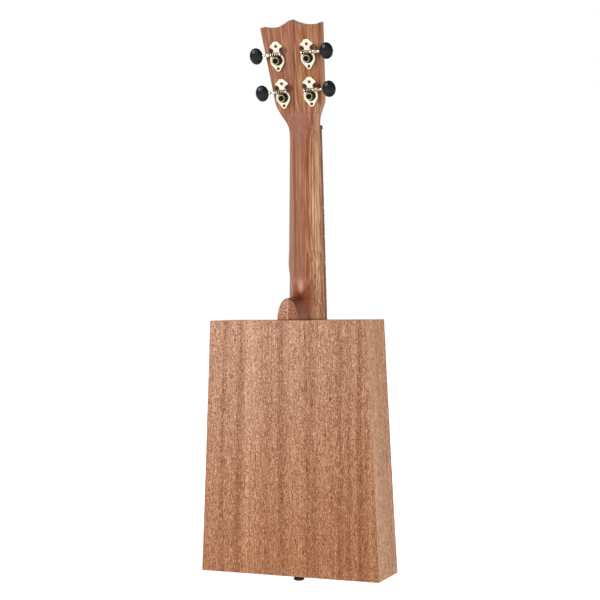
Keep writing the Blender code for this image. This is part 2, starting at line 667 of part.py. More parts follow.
def string_points(name):
    """One string's route, from the tie block over saddle and nut to its post."""
    x_low = string_x(name, STRING_SPREAD_AT_SADDLE)
    x_high = string_x(name, STRING_SPREAD_AT_NUT)
    over_saddle = string_over_board(SADDLE_Z)
    corner = [(x_low, -TIE_HOLE_HEIGHT, SADDLE_Z - BRIDGE_BACK - 1.2 * MM),
              (x_low, -TIE_HOLE_HEIGHT, SADDLE_Z - TIE_BLOCK_FRONT - 0.6 * MM),
              (x_low, over_saddle + 0.25 * MM, SADDLE_Z - SADDLE_THICKNESS / 2),
              (x_low, over_saddle, SADDLE_Z)]
    points = [Vector(corner[0])] + rounded(*corner[0:3]) + rounded(*corner[1:4]) + [Vector(corner[3])]
    points.append(Vector((mix(x_low, x_high, 0.5), string_over_board(SADDLE_Z / 2), SADDLE_Z / 2)))
    nut_front = (x_high, string_over_board(0), 0)
    nut_back = (x_high, string_over_board(0), NUT_LENGTH)
    tangent = tangent_on_post(name)
    post_end = head_place(tangent.y, -WINDING_ABOVE_FACE, tangent.x) @ Vector((0, 0, 0))
    points += [Vector(nut_front)] + rounded(nut_front, nut_back, post_end)
    points += [Vector(nut_back).lerp(post_end, 0.5), post_end]
    return points


def rounded(before, corner, after, reach=1.6 * MM, steps=2):
    """Points that round a bend in a cord."""
    before, corner, after = Vector(before), Vector(corner), Vector(after)
    start = corner + (before - corner).normalized() * reach
    end = corner + (after - corner).normalized() * reach
    found = []
    for i in range(steps + 1):
        t = i / steps
        found.append(start.lerp(corner, t).lerp(corner.lerp(end, t), t))
    return found


def make_strings(materials):
    for name in TUNERS:
        curve = bpy.data.curves.new(name + "_string", "CURVE")
        curve.dimensions = "3D"
        curve.bevel_depth = STRING_RADIUS[name]
        curve.bevel_resolution = 3
        curve.use_fill_caps = True
        points = string_points(name)
        spline = curve.splines.new("POLY")
        spline.points.add(len(points) - 1)
        for slot, point in zip(spline.points, points):
            slot.co = (*point, 1)
        curve.materials.append(materials["nylon"])
        item = bpy.data.objects.new(name + "_string", curve)
        bpy.context.scene.collection.objects.link(item)


def arc(radius, centre, angles):
    """Points of an arc about (0, centre), as (x, z)."""
    turns = [math.radians(angle) for angle in angles]
    return [(radius * math.cos(turn), centre + radius * math.sin(turn)) for turn in turns]


def plate_outline(side):
    """The back plate: screw tail, ring, ear shoulders, waist and pointed wings, as (x, z)."""
    ear_top = WORM_OFFSET + EAR_HALF_WIDTH
    right = arc(PLATE_TAIL, -PLATE_SCREW_DOWN, (-90, -65, -40, -15))
    right += arc(PLATE_RING, 0, (-42, -26, -10, 6, 22, 38))
    right += [(EAR_OUTSIDE, WORM_OFFSET - 0.2 * MM), (EAR_OUTSIDE, ear_top)]
    right += [(PLATE_NARROW, ear_top + 0.5 * MM), (PLATE_NARROW, 11.6 * MM), (4.6 * MM, 12.7 * MM)]
    right += [(PLATE_WING, 14.6 * MM), (5.8 * MM, 16.6 * MM), (4.2 * MM, 17.9 * MM), (2.4 * MM, PLATE_TOP)]
    left = [(-x, z) for x, z in reversed(right[1:])]
    return [(side * x, z) for x, z in right + left]


def ear_outline():
    """One ear in its own plane, as (height, along), with a round top."""
    top = WORM_HEIGHT
    points = [(PLATE_LOW + PLATE_THICKNESS / 3, WORM_OFFSET - EAR_HALF_WIDTH)]
    for angle in range(-90, 91, 30):
        turn = math.radians(angle)
        points.append((top + EAR_HALF_WIDTH * math.cos(turn), WORM_OFFSET + EAR_HALF_WIDTH * math.sin(turn)))
    points.append((PLATE_LOW + PLATE_THICKNESS / 3, WORM_OFFSET + EAR_HALF_WIDTH))
    return points


def build_plate(name, side, material):
    plate = add_mesh(name, slab(plate_outline(side), PLATE_LOW, PLATE_HIGH), material)
    for ear in (-1, 1):
        rings = [[(ear * x, y, z) for y, z in ear_outline()] for x in (EAR_INSIDE, EAR_OUTSIDE)]
        combine(plate, add_mesh("ear", lofted(rings), None), "UNION")
    holes = {0: POST_RADIUS + RUNNING, PLATE_SCREW_UP: PLATE_SCREW_HOLE, -PLATE_SCREW_DOWN: PLATE_SCREW_HOLE}
    for along, radius in holes.items():
        cut(plate, rod(radius, (0, -1 * MM, along), (0, PLATE_HIGH + 1 * MM, along)))
    reach = EAR_OUTSIDE + 1 * MM
    shaft_hole = [(x, WORM_HEIGHT, WORM_OFFSET) for x in (-reach, reach)]
    cut(plate, rod(WORM_ROOT + RUNNING, *shaft_hole, 12))
    return plate


def worm_columns():
    """Right-handed helical rows of thread points, clamped to the threaded length.

    The wheel lies at three quarters of a turn, where the thread's crest meets a gap between teeth.
    """
    radii = (WORM_ROOT, WORM_PITCH_RADIUS + TOOTH_HEIGHT, WORM_PITCH_RADIUS + TOOTH_HEIGHT, WORM_ROOT)
    shifts = (-TOOTH_FOOT / 2, -TOOTH_TIP / 2, TOOTH_TIP / 2, TOOTH_FOOT / 2)
    turns = int(2 * WORM_HALF_LENGTH / AXIAL_PITCH) + 3
    columns = []
    for i in range(WORM_SEGMENTS + 1):
        angle = 2 * math.pi * i / WORM_SEGMENTS
        column = []
        for turn in range(turns + 1):
            for radius, shift in zip(radii, shifts):
                x = (turn - turns // 2 + i / WORM_SEGMENTS - 0.75) * AXIAL_PITCH + shift
                if abs(x) >= WORM_HALF_LENGTH:
                    x = math.copysign(WORM_HALF_LENGTH, x)
                    radius = WORM_ROOT
                column.append((x, radius * math.cos(angle), radius * math.sin(angle)))
        columns.append(column)
    return columns


def build_worm_shaft(name, side, material):
    """The thread, with the plain shaft, oval bead and collar that carry the button, in one turned piece."""
    build = bmesh.new()
    grid = [[build.verts.new(point) for point in column] for column in worm_columns()]
    for low, high in zip(grid, grid[1:]):
        for k in range(len(low) - 1):
            build.faces.new((low[k], low[k + 1], high[k + 1], high[k]))
    inner = [(WORM_HALF_LENGTH, WORM_ROOT), (EAR_OUTSIDE + 0.9 * MM, WORM_ROOT),
             (EAR_OUTSIDE + 1.2 * MM, WORM_ROOT * 0.8)]
    outer = [(WORM_HALF_LENGTH, WORM_ROOT), (BEAD_START, WORM_ROOT),
             (BEAD_START + 0.1 * MM, BEAD_RADIUS * 0.62)]
    for share, radius in ((0.25, 0.92), (0.5, 1.0), (0.75, 0.92), (1.0, 0.62)):
        outer.append((BEAD_START + share * BEAD_LENGTH, BEAD_RADIUS * radius))
    collar = BEAD_START + BEAD_LENGTH + 0.5 * MM
    outer += [(collar, SHAFT_END), (collar + 0.4 * MM, COLLAR_RADIUS), (BUTTON_START - 0.9 * MM, COLLAR_RADIUS),
              (BUTTON_START - SEAT, SHAFT_END), (BUTTON_START + SHAFT_IN_BUTTON, WORM_ROOT * 0.9)]
    for direction, profile in ((-side, inner), (side, outer)):
        rows = []
        for x, radius in profile:
            rows.append([build.verts.new((direction * x, y, z)) for y, z in circle(radius, WORM_SEGMENTS)])
        for low, high in zip(rows, rows[1:]):
            for i in range(WORM_SEGMENTS):
                j = (i + 1) % WORM_SEGMENTS
                build.faces.new((low[i], low[j], high[j], high[i]))
        build.faces.new(rows[-1])
    bmesh.ops.remove_doubles(build, verts=build.verts, dist=0.0005 * MM)
    bmesh.ops.dissolve_degenerate(build, edges=build.edges, dist=0.0005 * MM)
    return add_mesh(name, build, material, 40)


def build_button(name, side, material):
    """An oval black button, thick in the middle, with a blind hole for the shaft."""
    hole = circle(SHAFT_END + SEAT)
    rings = [[(side * x, y, z) for y, z in hole] for x in (BUTTON_START + SHAFT_IN_BUTTON + SEAT, BUTTON_START)]
    for angle in (14, 28, 46, 66, 90, 114, 134, 152, 168):
        turn = math.radians(angle)
        x = BUTTON_START + BUTTON_LENGTH * (1 - math.cos(turn)) / 2
        tall = BUTTON_WIDTH / 2 * math.sin(turn)
        thick = BUTTON_THICKNESS / 2 * math.sin(turn) ** 0.8
        rings.append([(side * x, thick * y, tall * z) for y, z in circle(1)])
    end = side * (BUTTON_START + BUTTON_LENGTH)
    rings.append([(end, 0.4 * MM * y, 0.9 * MM * z) for y, z in circle(1)])
    return add_mesh(name, lofted(rings), material, 50)


def wheel_outline(turn):
    """The toothed edge, four points to a tooth, as (x, z)."""
    tip = WHEEL_PITCH_RADIUS + TOOTH_HEIGHT
    root = WHEEL_PITCH_RADIUS - TOOTH_HEIGHT - 0.3 * MM
    corners = ((root, TOOTH_FOOT / 2), (tip, TOOTH_TIP / 2), (tip, -TOOTH_TIP / 2), (root, -TOOTH_FOOT / 2))
    points = []
    for tooth in range(WHEEL_TEETH):
        middle = 2 * math.pi * (tooth + 0.5) / WHEEL_TEETH + turn + math.pi / 2
        for radius, half in corners:
            angle = middle - half / WHEEL_PITCH_RADIUS
            points.append((radius * math.cos(angle), radius * math.sin(angle)))
    return points


def build_wheel(name, material):
    """The worm wheel: slanted teeth, a hub on top and a squared hole for the post's stub."""
    lead = AXIAL_PITCH / (2 * math.pi * WORM_PITCH_RADIUS)
    twist = lead * WHEEL_THICKNESS / 2 / WHEEL_PITCH_RADIUS
    build = bmesh.new()

    def row(points, height):
        return [build.verts.new((x, height, z)) for x, z in points]

    def band(low, high):
        for i in range(len(low)):
            j = (i + 1) % len(low)
            build.faces.new((low[i], low[j], high[j], high[i]))

    def web(edge, inner):
        for k in range(WHEEL_TEETH):
            tooth = edge[4 * k:4 * k + 4]
            after = (k + 1) % WHEEL_TEETH
            build.faces.new([inner[k]] + tooth)
            build.faces.new((inner[k], tooth[3], edge[4 * after], inner[after]))

    start = math.pi / WHEEL_TEETH + math.pi / 2
    hole = circle(POST_STUB + SEAT, WHEEL_TEETH, start)
    low_edge = row(wheel_outline(twist), WHEEL_LOW)
    high_edge = row(wheel_outline(-twist), WHEEL_HIGH)
    low_hole = row(hole, WHEEL_LOW)
    hub_foot = row(circle(HUB_RADIUS * 0.96, WHEEL_TEETH, start), WHEEL_HIGH)
    hub_top = row(circle(HUB_RADIUS, WHEEL_TEETH, start), WHEEL_HIGH + HUB_HEIGHT)
    high_hole = row(hole, WHEEL_HIGH + HUB_HEIGHT)
    band(low_edge, high_edge)
    web(low_edge, low_hole)
    web(high_edge, hub_foot)
    band(hub_foot, hub_top)
    band(hub_top, high_hole)
    band(high_hole, low_hole)
    return add_mesh(name, build, material, 35)


def build_post(name, material):
    """The string post: shoulder under the wheel, stub through it, waist and rounded end."""
    face = -HEAD_THICKNESS
    low = face - POST_ABOVE_FACE
    waist = face - WINDING_ABOVE_FACE
    bore = SCREW_SHANK + SEAT
    top = WHEEL_HIGH + HUB_HEIGHT - SEAT
    profile = [(bore, top - 4 * MM), (bore, top), (POST_STUB, top), (POST_STUB, WHEEL_LOW - SEAT),
               (POST_RADIUS, WHEEL_LOW - SEAT), (POST_RADIUS, waist + 2.4 * MM), (POST_WAIST, waist + 1.8 * MM),
               (POST_WAIST, waist - 1.8 * MM), (POST_RADIUS, waist - 2.4 * MM), (POST_RADIUS, low + 0.8 * MM),
               (POST_RADIUS * 0.7, low)]
    post = add_mesh(name, turned(profile, ROUND), material, 40)
    hole = rod(0.7 * MM, (0, waist - 3.6 * MM, -2 * POST_RADIUS), (0, waist - 3.6 * MM, 2 * POST_RADIUS), 8)
    cut(post, hole)
    return post


def build_bushing(name, material):
    """A flanged sleeve pressed into the head from the front."""
    face = -HEAD_THICKNESS
    inner = POST_RADIUS + RUNNING
    flange = face - SEAT
    front = flange - BUSHING_FLANGE_THICKNESS
    profile = [(inner, front), (BUSHING_FLANGE - 0.7 * MM, front), (BUSHING_FLANGE, flange - 0.5 * MM),
               (BUSHING_FLANGE, flange), (BUSHING_SLEEVE, flange), (BUSHING_SLEEVE, face + BUSHING_DEPTH),
               (inner, face + BUSHING_DEPTH)]
    return add_mesh(name, turned(profile, ROUND, closed=True), material, 40)


def build_winding(name, string, material):
    """The string's turns round the post's waist, as one ring with a groove between turns."""
    radius = STRING_RADIUS[string]
    inner = POST_WAIST + SEAT
    middle = -HEAD_THICKNESS - WINDING_ABOVE_FACE
    profile = [(inner, middle + WINDING_TURNS * radius), (inner, middle - WINDING_TURNS * radius)]
    for turn in range(WINDING_TURNS):
        centre = middle + (2 * turn + 1 - WINDING_TURNS) * radius
        for angle in (-50, 50):
            slope = math.radians(angle)
            profile.append((inner + radius + radius * math.cos(slope), centre + radius * math.sin(slope)))
    return add_mesh(name, turned(profile, ROUND, closed=True), material, 60)


def build_wheel_screw(name, material):
    """The slotted screw that holds the wheel on its post."""
    low = WHEEL_HIGH + HUB_HEIGHT + SEAT
    top = low + SCREW_HEAD_HEIGHT
    profile = [(SCREW_SHANK * 0.8, low - 3.4 * MM), (SCREW_SHANK, low - 3.0 * MM), (SCREW_SHANK, low),
               (SCREW_HEAD_RADIUS, low), (SCREW_HEAD_RADIUS, top - 0.4 * MM), (SCREW_HEAD_RADIUS * 0.86, top)]
    screw = add_mesh(name, turned(profile, ROUND), material, 40)
    slot = slab(rectangle(0.4 * MM, 4 * MM, -4 * MM), top - 0.5 * MM, top + 1 * MM)
    cut(screw, moved(slot, Matrix.Rotation(math.radians(35), 4, "Y")))
    return screw


def make_tuner(string, materials):
    """One tuner in the head's frame, carried by an empty on its post's axis."""
    side, row = TUNERS[string]
    along, across = TUNER_ROWS[row]
    carrier = bpy.data.objects.new(string + "_tuner_axis", None)
    carrier.matrix_world = head_place(along, HEAD_THICKNESS, side * across)
    bpy.context.scene.collection.objects.link(carrier)
    worm_axis = (0, WORM_HEIGHT, WORM_OFFSET)
    plate = build_plate(string + "_tuner_plate", side, materials["nickel"])
    shaft = build_worm_shaft(string + "_worm_shaft", side, materials["nickel"])
    button = build_button(string + "_tuner_button", side, materials["button"])
    wheel = build_wheel(string + "_worm_wheel", materials["brass"])
    post = build_post(string + "_string_post", materials["nickel"])
    bushing = build_bushing(string + "_post_bushing", materials["nickel"])
    winding = build_winding(string + "_string_winding", string, materials["nylon"])
    screw = build_wheel_screw(string + "_wheel_screw", materials["dark"])
    for item in (plate, shaft, button, wheel, post, bushing, winding, screw):
        item.parent = carrier
    for item in (shaft, button):
        item.location = worm_axis


def main():
    for item in list(bpy.data.objects):
        bpy.data.objects.remove(item)
    materials = make_materials()
    make_boards(materials)
    make_walls(materials)
    make_blocks(materials)
    make_linings(materials)
    make_braces(materials)
    make_neck(materials)
    make_dowel(materials)
    make_end_pin(materials)
    make_fretboard(materials)
    make_nut(materials)
    make_bridge(materials)
    make_saddle(materials)
    make_bridge_plate(materials)
    make_strings(materials)
    for string in TUNERS:
        make_tuner(string, materials)
    bpy.data.objects["neck"].data.shade_smooth()
    bpy.data.objects["neck"].data.set_sharp_from_angle(angle=math.radians(30))


main()
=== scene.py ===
# %% [markdown]
# # A cigar box ukulele, from the back
#
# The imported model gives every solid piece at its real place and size, in metres. This lesson dresses it:
# wood, nickel, brass and nylon, the small screws, dots and knots, and a studio to see it in. Up the neck
# is +Z, the back panel faces +Y, and the strings are on the -Y side.

# %% Load the model
import json
import math

import bmesh
import bpy
from mathutils import Matrix, Vector


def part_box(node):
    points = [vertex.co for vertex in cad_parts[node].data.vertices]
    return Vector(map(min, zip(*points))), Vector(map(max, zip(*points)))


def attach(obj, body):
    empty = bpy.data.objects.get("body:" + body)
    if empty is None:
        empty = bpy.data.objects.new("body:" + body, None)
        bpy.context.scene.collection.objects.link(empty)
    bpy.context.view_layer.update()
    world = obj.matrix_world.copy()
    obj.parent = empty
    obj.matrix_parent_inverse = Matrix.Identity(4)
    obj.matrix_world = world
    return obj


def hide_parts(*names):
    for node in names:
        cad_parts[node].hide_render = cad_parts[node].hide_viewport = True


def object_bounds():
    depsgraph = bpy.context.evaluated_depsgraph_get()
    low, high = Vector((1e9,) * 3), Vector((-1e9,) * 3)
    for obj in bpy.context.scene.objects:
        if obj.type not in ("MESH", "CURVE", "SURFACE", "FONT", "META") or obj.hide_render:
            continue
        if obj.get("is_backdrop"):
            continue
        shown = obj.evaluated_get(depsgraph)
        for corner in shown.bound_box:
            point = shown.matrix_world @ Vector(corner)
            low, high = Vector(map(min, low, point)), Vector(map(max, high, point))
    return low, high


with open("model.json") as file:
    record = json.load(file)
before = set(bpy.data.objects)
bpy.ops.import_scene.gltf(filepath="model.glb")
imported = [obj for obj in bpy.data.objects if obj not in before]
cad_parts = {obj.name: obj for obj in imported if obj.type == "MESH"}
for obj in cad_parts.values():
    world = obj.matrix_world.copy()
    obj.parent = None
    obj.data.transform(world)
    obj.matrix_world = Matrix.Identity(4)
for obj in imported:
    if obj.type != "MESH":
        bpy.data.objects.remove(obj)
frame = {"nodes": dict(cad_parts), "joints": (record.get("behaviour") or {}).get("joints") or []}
cad_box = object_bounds()
MM = 0.001
nodes = frame["nodes"]
joints = {joint["name"]: joint for joint in frame["joints"]}

# %% [markdown]
# ## The camera
# The instrument was photographed from behind and a little from its fourth-string side, at the height of
# the top of the box. A long lens keeps the box's edges nearly parallel. The camera's right and up
# directions are worked out from its compass angle and a half-degree roll, which is plainer than Euler angles.

# %% Camera
PICTURE = 600
FOCAL_PIXELS = 1400.72
SENSOR = 36.0
CAMERA_PLACE = Vector((-591.05, 1413.97, -187.34)) * MM
CAMERA_ANGLES = (202.98, -0.04, -0.54)
azimuth, elevation, roll = (math.radians(angle) for angle in CAMERA_ANGLES)
back = Vector((math.sin(azimuth) * math.cos(elevation), -math.cos(azimuth) * math.cos(elevation),
               math.sin(elevation)))
level = (-back).cross(Vector((0, 0, 1))).normalized()
upright = level.cross(-back)
right = math.cos(roll) * level + math.sin(roll) * upright
up = math.cos(roll) * upright - math.sin(roll) * level
camera = bpy.data.objects.new("camera", bpy.data.cameras.new("camera"))
bpy.context.scene.collection.objects.link(camera)
camera.data.sensor_width = SENSOR
camera.data.lens = FOCAL_PIXELS / PICTURE * SENSOR
camera.data.clip_start = 0.05
camera.data.clip_end = 30
camera.matrix_world = Matrix.Translation(CAMERA_PLACE) @ Matrix((right, up, back)).transposed().to_4x4()
bpy.context.scene.camera = camera
bpy.context.scene.view_settings.view_transform = "Standard"
print("lens", round(camera.data.lens, 1), "mm")

# %% [markdown]
# ## Colour by the numbers
# A colour is easiest to judge as the 0 to 255 numbers of a picture, but light adds up in linear numbers.
# One small function turns the first into the second.

# %% Colour helper
def shade(red, green, blue):
    """A picture's 0 to 255 colour as linear numbers."""
    def linear(value):
        value /= 255
        return value / 12.92 if value <= 0.04045 else ((value + 0.055) / 1.055) ** 2.4
    return (linear(red), linear(green), linear(blue), 1.0)


# %% [markdown]
# ## A small language for materials
# Wood, oil and wear are all sums of stretched noises and soft steps. Writing every node by hand is long,
# so this class keeps one material's node tree and gives each common step a short name. All patterns are
# placed in the model's own metres, so grain keeps its real size on every piece.

# %% Material helper
class Finish:
    """One material under construction."""

    def __init__(self, name, **settings):
        self.material = bpy.data.materials.new(name)
        self.material.use_nodes = True
        self.tree = self.material.node_tree
        self.surface = self.tree.nodes["Principled BSDF"]
        self.place = self.add("ShaderNodeTexCoord").outputs["Object"]
        for socket, value in settings.items():
            self.surface.inputs[socket.replace("_", " ")].default_value = value

    def add(self, kind, **settings):
        node = self.tree.nodes.new(kind)
        for key, value in settings.items():
            setattr(node, key, value)
        return node

    def join(self, source, socket):
        if isinstance(source, (int, float, tuple)):
            socket.default_value = source
        else:
            self.tree.links.new(source, socket)

    def stretched(self, across, deep, along, source=None, shift=(0, 0, 0)):
        """The place in metres times one number for each direction, so 1000 means one cell to a millimetre."""
        node = self.add("ShaderNodeMapping")
        node.inputs["Scale"].default_value = (across, deep, along)
        node.inputs["Location"].default_value = shift
        self.join(source or self.place, node.inputs["Vector"])
        return node.outputs["Vector"]

    def noise(self, vector, detail=2.0, rough=0.5, twist=0.0):
        node = self.add("ShaderNodeTexNoise")
        node.inputs["Scale"].default_value = 1.0
        node.inputs["Detail"].default_value = detail
        node.inputs["Roughness"].default_value = rough
        node.inputs["Distortion"].default_value = twist
        self.join(vector, node.inputs["Vector"])
        return node.outputs["Fac"]

    def math(self, operation, first, second=0.0, third=None):
        node = self.add("ShaderNodeMath", operation=operation)
        self.join(first, node.inputs[0])
        self.join(second, node.inputs[1])
        if third is not None:
            self.join(third, node.inputs[2])
        return node.outputs[0]

    def step(self, value, low, high, floor=0.0, top=1.0):
        """A soft step from floor to top as value goes from low to high."""
        node = self.add("ShaderNodeMapRange", interpolation_type="SMOOTHSTEP")
        for socket, number in zip(("From Min", "From Max", "To Min", "To Max"), (low, high, floor, top)):
            node.inputs[socket].default_value = number
        self.join(value, node.inputs["Value"])
        return node.outputs["Result"]

    def times(self, first, *others):
        """The product of values, such as masks."""
        for other in others:
            first = self.math("MULTIPLY", first, other)
        return first

    def between(self, value, low, high, soft):
        """One between low and high, softly zero outside."""
        return self.times(self.step(value, low - soft, low + soft), self.step(value, high + soft, high - soft))

    def axis(self, letter, source=None):
        node = self.add("ShaderNodeSeparateXYZ")
        self.join(source or self.place, node.inputs[0])
        return node.outputs[letter]

    def facing(self, letter):
        """One component of the surface's direction, from -1 to 1."""
        return self.axis(letter, self.add("ShaderNodeTexCoord").outputs["Normal"])

    def along(self, direction, start=(0, 0, 0)):
        """How far a point lies from start in a direction, in metres."""
        away = self.add("ShaderNodeVectorMath", operation="SUBTRACT")
        self.join(self.place, away.inputs[0])
        away.inputs[1].default_value = start
        dot = self.add("ShaderNodeVectorMath", operation="DOT_PRODUCT")
        self.join(away.outputs[0], dot.inputs[0])
        dot.inputs[1].default_value = direction
        return dot.outputs["Value"]

    def sum(self, base, *terms):
        """base plus weight times (value - 0.5) for each (value, weight)."""
        total = base
        for value, weight in terms:
            total = self.math("MULTIPLY_ADD", self.math("SUBTRACT", value, 0.5), weight, total)
        return total

    def tones(self, value, *stops):
        """A colour ramp of (position, colour) stops."""
        node = self.add("ShaderNodeValToRGB")
        ramp = node.color_ramp
        while len(ramp.elements) < len(stops):
            ramp.elements.new(1.0)
        for element, (position, colour) in zip(ramp.elements, stops):
            element.position = position
            element.color = colour
        self.join(value, node.inputs["Fac"])
        return node.outputs["Color"]

    def mix(self, share, first, second, blend="MIX"):
        """Colour first, with a share of the second mixed in or, with MULTIPLY, multiplied in."""
        node = self.add("ShaderNodeMix", data_type="RGBA", blend_type=blend)
        self.join(share, node.inputs["Factor"])
        self.join(first, node.inputs[6])
        self.join(second, node.inputs[7])
        return node.outputs[2]

    def tint(self, base, tone, strength, *masks):
        """A colour with a tone laid over it at some strength, where all the masks are one."""
        return self.mix(self.times(strength, *masks), base, tone)

    def colour(self, source):
        self.join(source, self.surface.inputs["Base Color"])
        return self

    def gloss(self, source):
        self.join(source, self.surface.inputs["Roughness"])
        return self

    def relief(self, height, depth, strength=1.0):
        """Bump from a height between 0 and 1 that stands for depth metres."""
        node = self.add("ShaderNodeBump")
        node.inputs["Strength"].default_value = strength
        node.inputs["Distance"].default_value = depth
        self.join(height, node.inputs["Height"])
        self.join(node.outputs["Normal"], self.surface.inputs["Normal"])
        return self


def dress(finish, *names):
    """Gives CAD nodes a finish."""
    for name in names:
        materials = nodes[name].data.materials
        materials.clear()
        materials.append(finish.material)
        for polygon in nodes[name].data.polygons:
            polygon.material_index = 0
    print(finish.material.name, "on", len(names), "nodes")


# %% [markdown]
# ## Grain
# All the wood here has its grain up Z. A wood's tone is one number: a sum of noises stretched along the
# grain, for its pores, flecks and streaks, and of soft ribbons at chosen places across it. A ramp of three
# colours turns that number into wood. A photo could be pasted on, but noise has no seams and covers every
# side of a piece.

# %% Grain helpers
BOX_TOP = -208 * MM
FAN_END = -478 * MM
FAN_REACH = 60 * MM


def ribboned(finish, ribbons, across):
    """The sum of soft ribbons, each as (place across in mm, half width in mm, strength)."""
    total = 0.0
    for place, half_width, strength in ribbons:
        away = finish.math("ABSOLUTE", finish.math("SUBTRACT", across, place * MM))
        ribbon = finish.step(away, half_width * 0.3 * MM, half_width * 1.7 * MM, strength, 0.0)
        total = finish.math("ADD", total, ribbon)
    return total


def layered(finish, vector, layers):
    """The sum of stretched noises, each as (cell across in mm, cell along in mm, weight)."""
    total = 0.5
    for order, (across, along, weight) in enumerate(layers):
        shift = (3 + 2 * order, order, 5 - order)
        cells = finish.stretched(1000 / across, 1000 / across, 1000 / along, vector, shift)
        total = finish.sum(total, (finish.noise(cells, detail=1.5, rough=0.6), weight))
    return total


def grained(name, dark, middle, light, layers, across=(-1, 0, 0), ribbons=(), wander=4, lean=0.0, fan=0.0,
            **settings):
    """Open-pored wood with its grain up Z: a tone from noises and ribbons, and a ramp of three colours.

    The grain wanders sideways by so many millimetres. Above the origin it leans back by so much Y for each
    Z, and on the first string's side the ribbons fan out by so many millimetres down the box."""
    wood = Finish(name, **settings)
    slow = wood.noise(wood.stretched(40, 40, 9, shift=(3, 1, 0)), detail=1)
    drift = wood.math("MULTIPLY", wood.math("SUBTRACT", slow, 0.5), wander * MM)
    leaned = wood.math("MULTIPLY_ADD", wood.math("MAXIMUM", wood.axis("Z"), 0), -lean, drift)
    offset = wood.add("ShaderNodeCombineXYZ")
    wood.join(drift, offset.inputs["X"])
    wood.join(leaned, offset.inputs["Y"])
    bent = wood.add("ShaderNodeVectorMath", operation="ADD")
    wood.join(wood.place, bent.inputs[0])
    wood.join(offset.outputs[0], bent.inputs[1])
    wood.bent = bent.outputs[0]
    wood.across = wood.math("ADD", wood.along(across), drift)
    fanning = wood.times(wood.step(wood.across, 0, -FAN_REACH), wood.step(wood.axis("Z"), BOX_TOP, FAN_END))
    fanned = wood.math("MULTIPLY_ADD", fanning, fan * MM, wood.across)
    wood.tone = wood.math("ADD", layered(wood, wood.bent, layers), ribboned(wood, ribbons, fanned))
    wood.grain = wood.tones(wood.tone, (0.0, dark), (0.5, middle), (1.0, light))
    wood.pores = wood.noise(wood.stretched(950, 950, 190, wood.bent, (0, 7, 1)), detail=2, rough=0.6)
    wood.colour(wood.grain)
    return wood


# %% [markdown]
# ## The box's wood
# The box is thin plywood with an open-pored, sapele-like face: straight ribbons of lighter and darker wood
# up the panel, and short dark pores with pale flecks between them, half a millimetre wide and some
# millimetres long. The ribbons are listed from left to right as the camera sees them. Towards the
# tail the wood is a little deeper in colour, which a multiplied tint gives.

# %% Box wood
RIBBONS = ((-82, 3, 0.03), (-71.5, 2.6, -0.12), (-61, 3, 0.03), (-52.5, 2.8, -0.15), (-43, 3, 0.08),
           (-38, 7, 0.07), (-22, 1.6, -0.07), (-7, 3, -0.13), (5, 3, 0.06), (13, 3, 0.05),
           (23, 1.6, -0.08), (29, 2, -0.06), (41, 5, 0.05), (51, 2, -0.06), (60, 3, -0.12),
           (70, 2.4, -0.07), (76, 2, 0.05), (82, 2.6, -0.15), (89, 2, -0.05), (94, 2.6, 0.08))
BOX_LAYERS = ((0.5, 2.2, 2.2), (0.7, 9, 0.9), (0.8, 60, 0.5), (14, 500, 0.12))
TOP_CORNER = (82 * MM, 60 * MM, BOX_TOP)
TO_FAR_CORNER = (-0.35, 0, -0.94)
TAIL_TINT = (0.9, 0.735, 0.575, 1)
box_wood = grained("box_wood", shade(112, 60, 36), shade(182, 130, 99), shade(242, 202, 174), BOX_LAYERS,
                   ribbons=RIBBONS, fan=8, Roughness=0.6, Specular_IOR_Level=0.25)
towards_tail = box_wood.step(box_wood.along(TO_FAR_CORNER, TOP_CORNER), 0, 300 * MM)
tone = box_wood.mix(towards_tail, box_wood.grain, TAIL_TINT, "MULTIPLY")

# %% [markdown]
# ## The ring round the sound hole
# A pale line between two dark ones is let into the soundboard round its hole, in a groove cut with a
# turning blade, and sanded flush. It has no height of its own, so it is drawn in the wood's colour by the
# distance from the hole's axis. A mask keeps it on the outer face.

# %% Ring inlaid round the sound hole
def radius_from(finish, centre, sideways=(1, 0, 0), upwards=(0, 0, 1)):
    """The distance from an axis through a centre, measured in two directions square to it."""
    across = finish.along(tuple(sideways), tuple(centre))
    upward = finish.along(tuple(upwards), tuple(centre))
    return finish.math("SQRT", finish.math("MULTIPLY_ADD", across, across, finish.times(upward, upward)))


HOLE_CENTRE = (0, 0, -284.03 * MM)
DARK_LINE, PALE_LINE = shade(36, 26, 20), shade(214, 186, 140)
RING = ((30.2, 30.8, DARK_LINE), (30.8, 32.2, PALE_LINE), (32.2, 32.8, DARK_LINE))
from_hole = radius_from(box_wood, HOLE_CENTRE)
on_front = box_wood.step(box_wood.axis("Y"), 0.6 * MM, 0.3 * MM)
for inner, outer, inlay in RING:
    past_inner = box_wood.math("GREATER_THAN", from_hole, inner * MM)
    before_outer = box_wood.math("LESS_THAN", from_hole, outer * MM)
    tone = box_wood.tint(tone, inlay, on_front, past_inner, before_outer)
box_wood.colour(tone)
box_wood.relief(box_wood.pores, 0.12 * MM, 0.5)
dress(box_wood, "back_panel", "soundboard", "neck_end_wall", "tail_wall")

# %% [markdown]
# ## The side walls and the wood inside
# The side walls are cut from the same sheet, but light falls along them and their grain looks calmer and
# yellower. Inside are plain pale softwood blocks, linings and braces, with a finer and fainter grain.

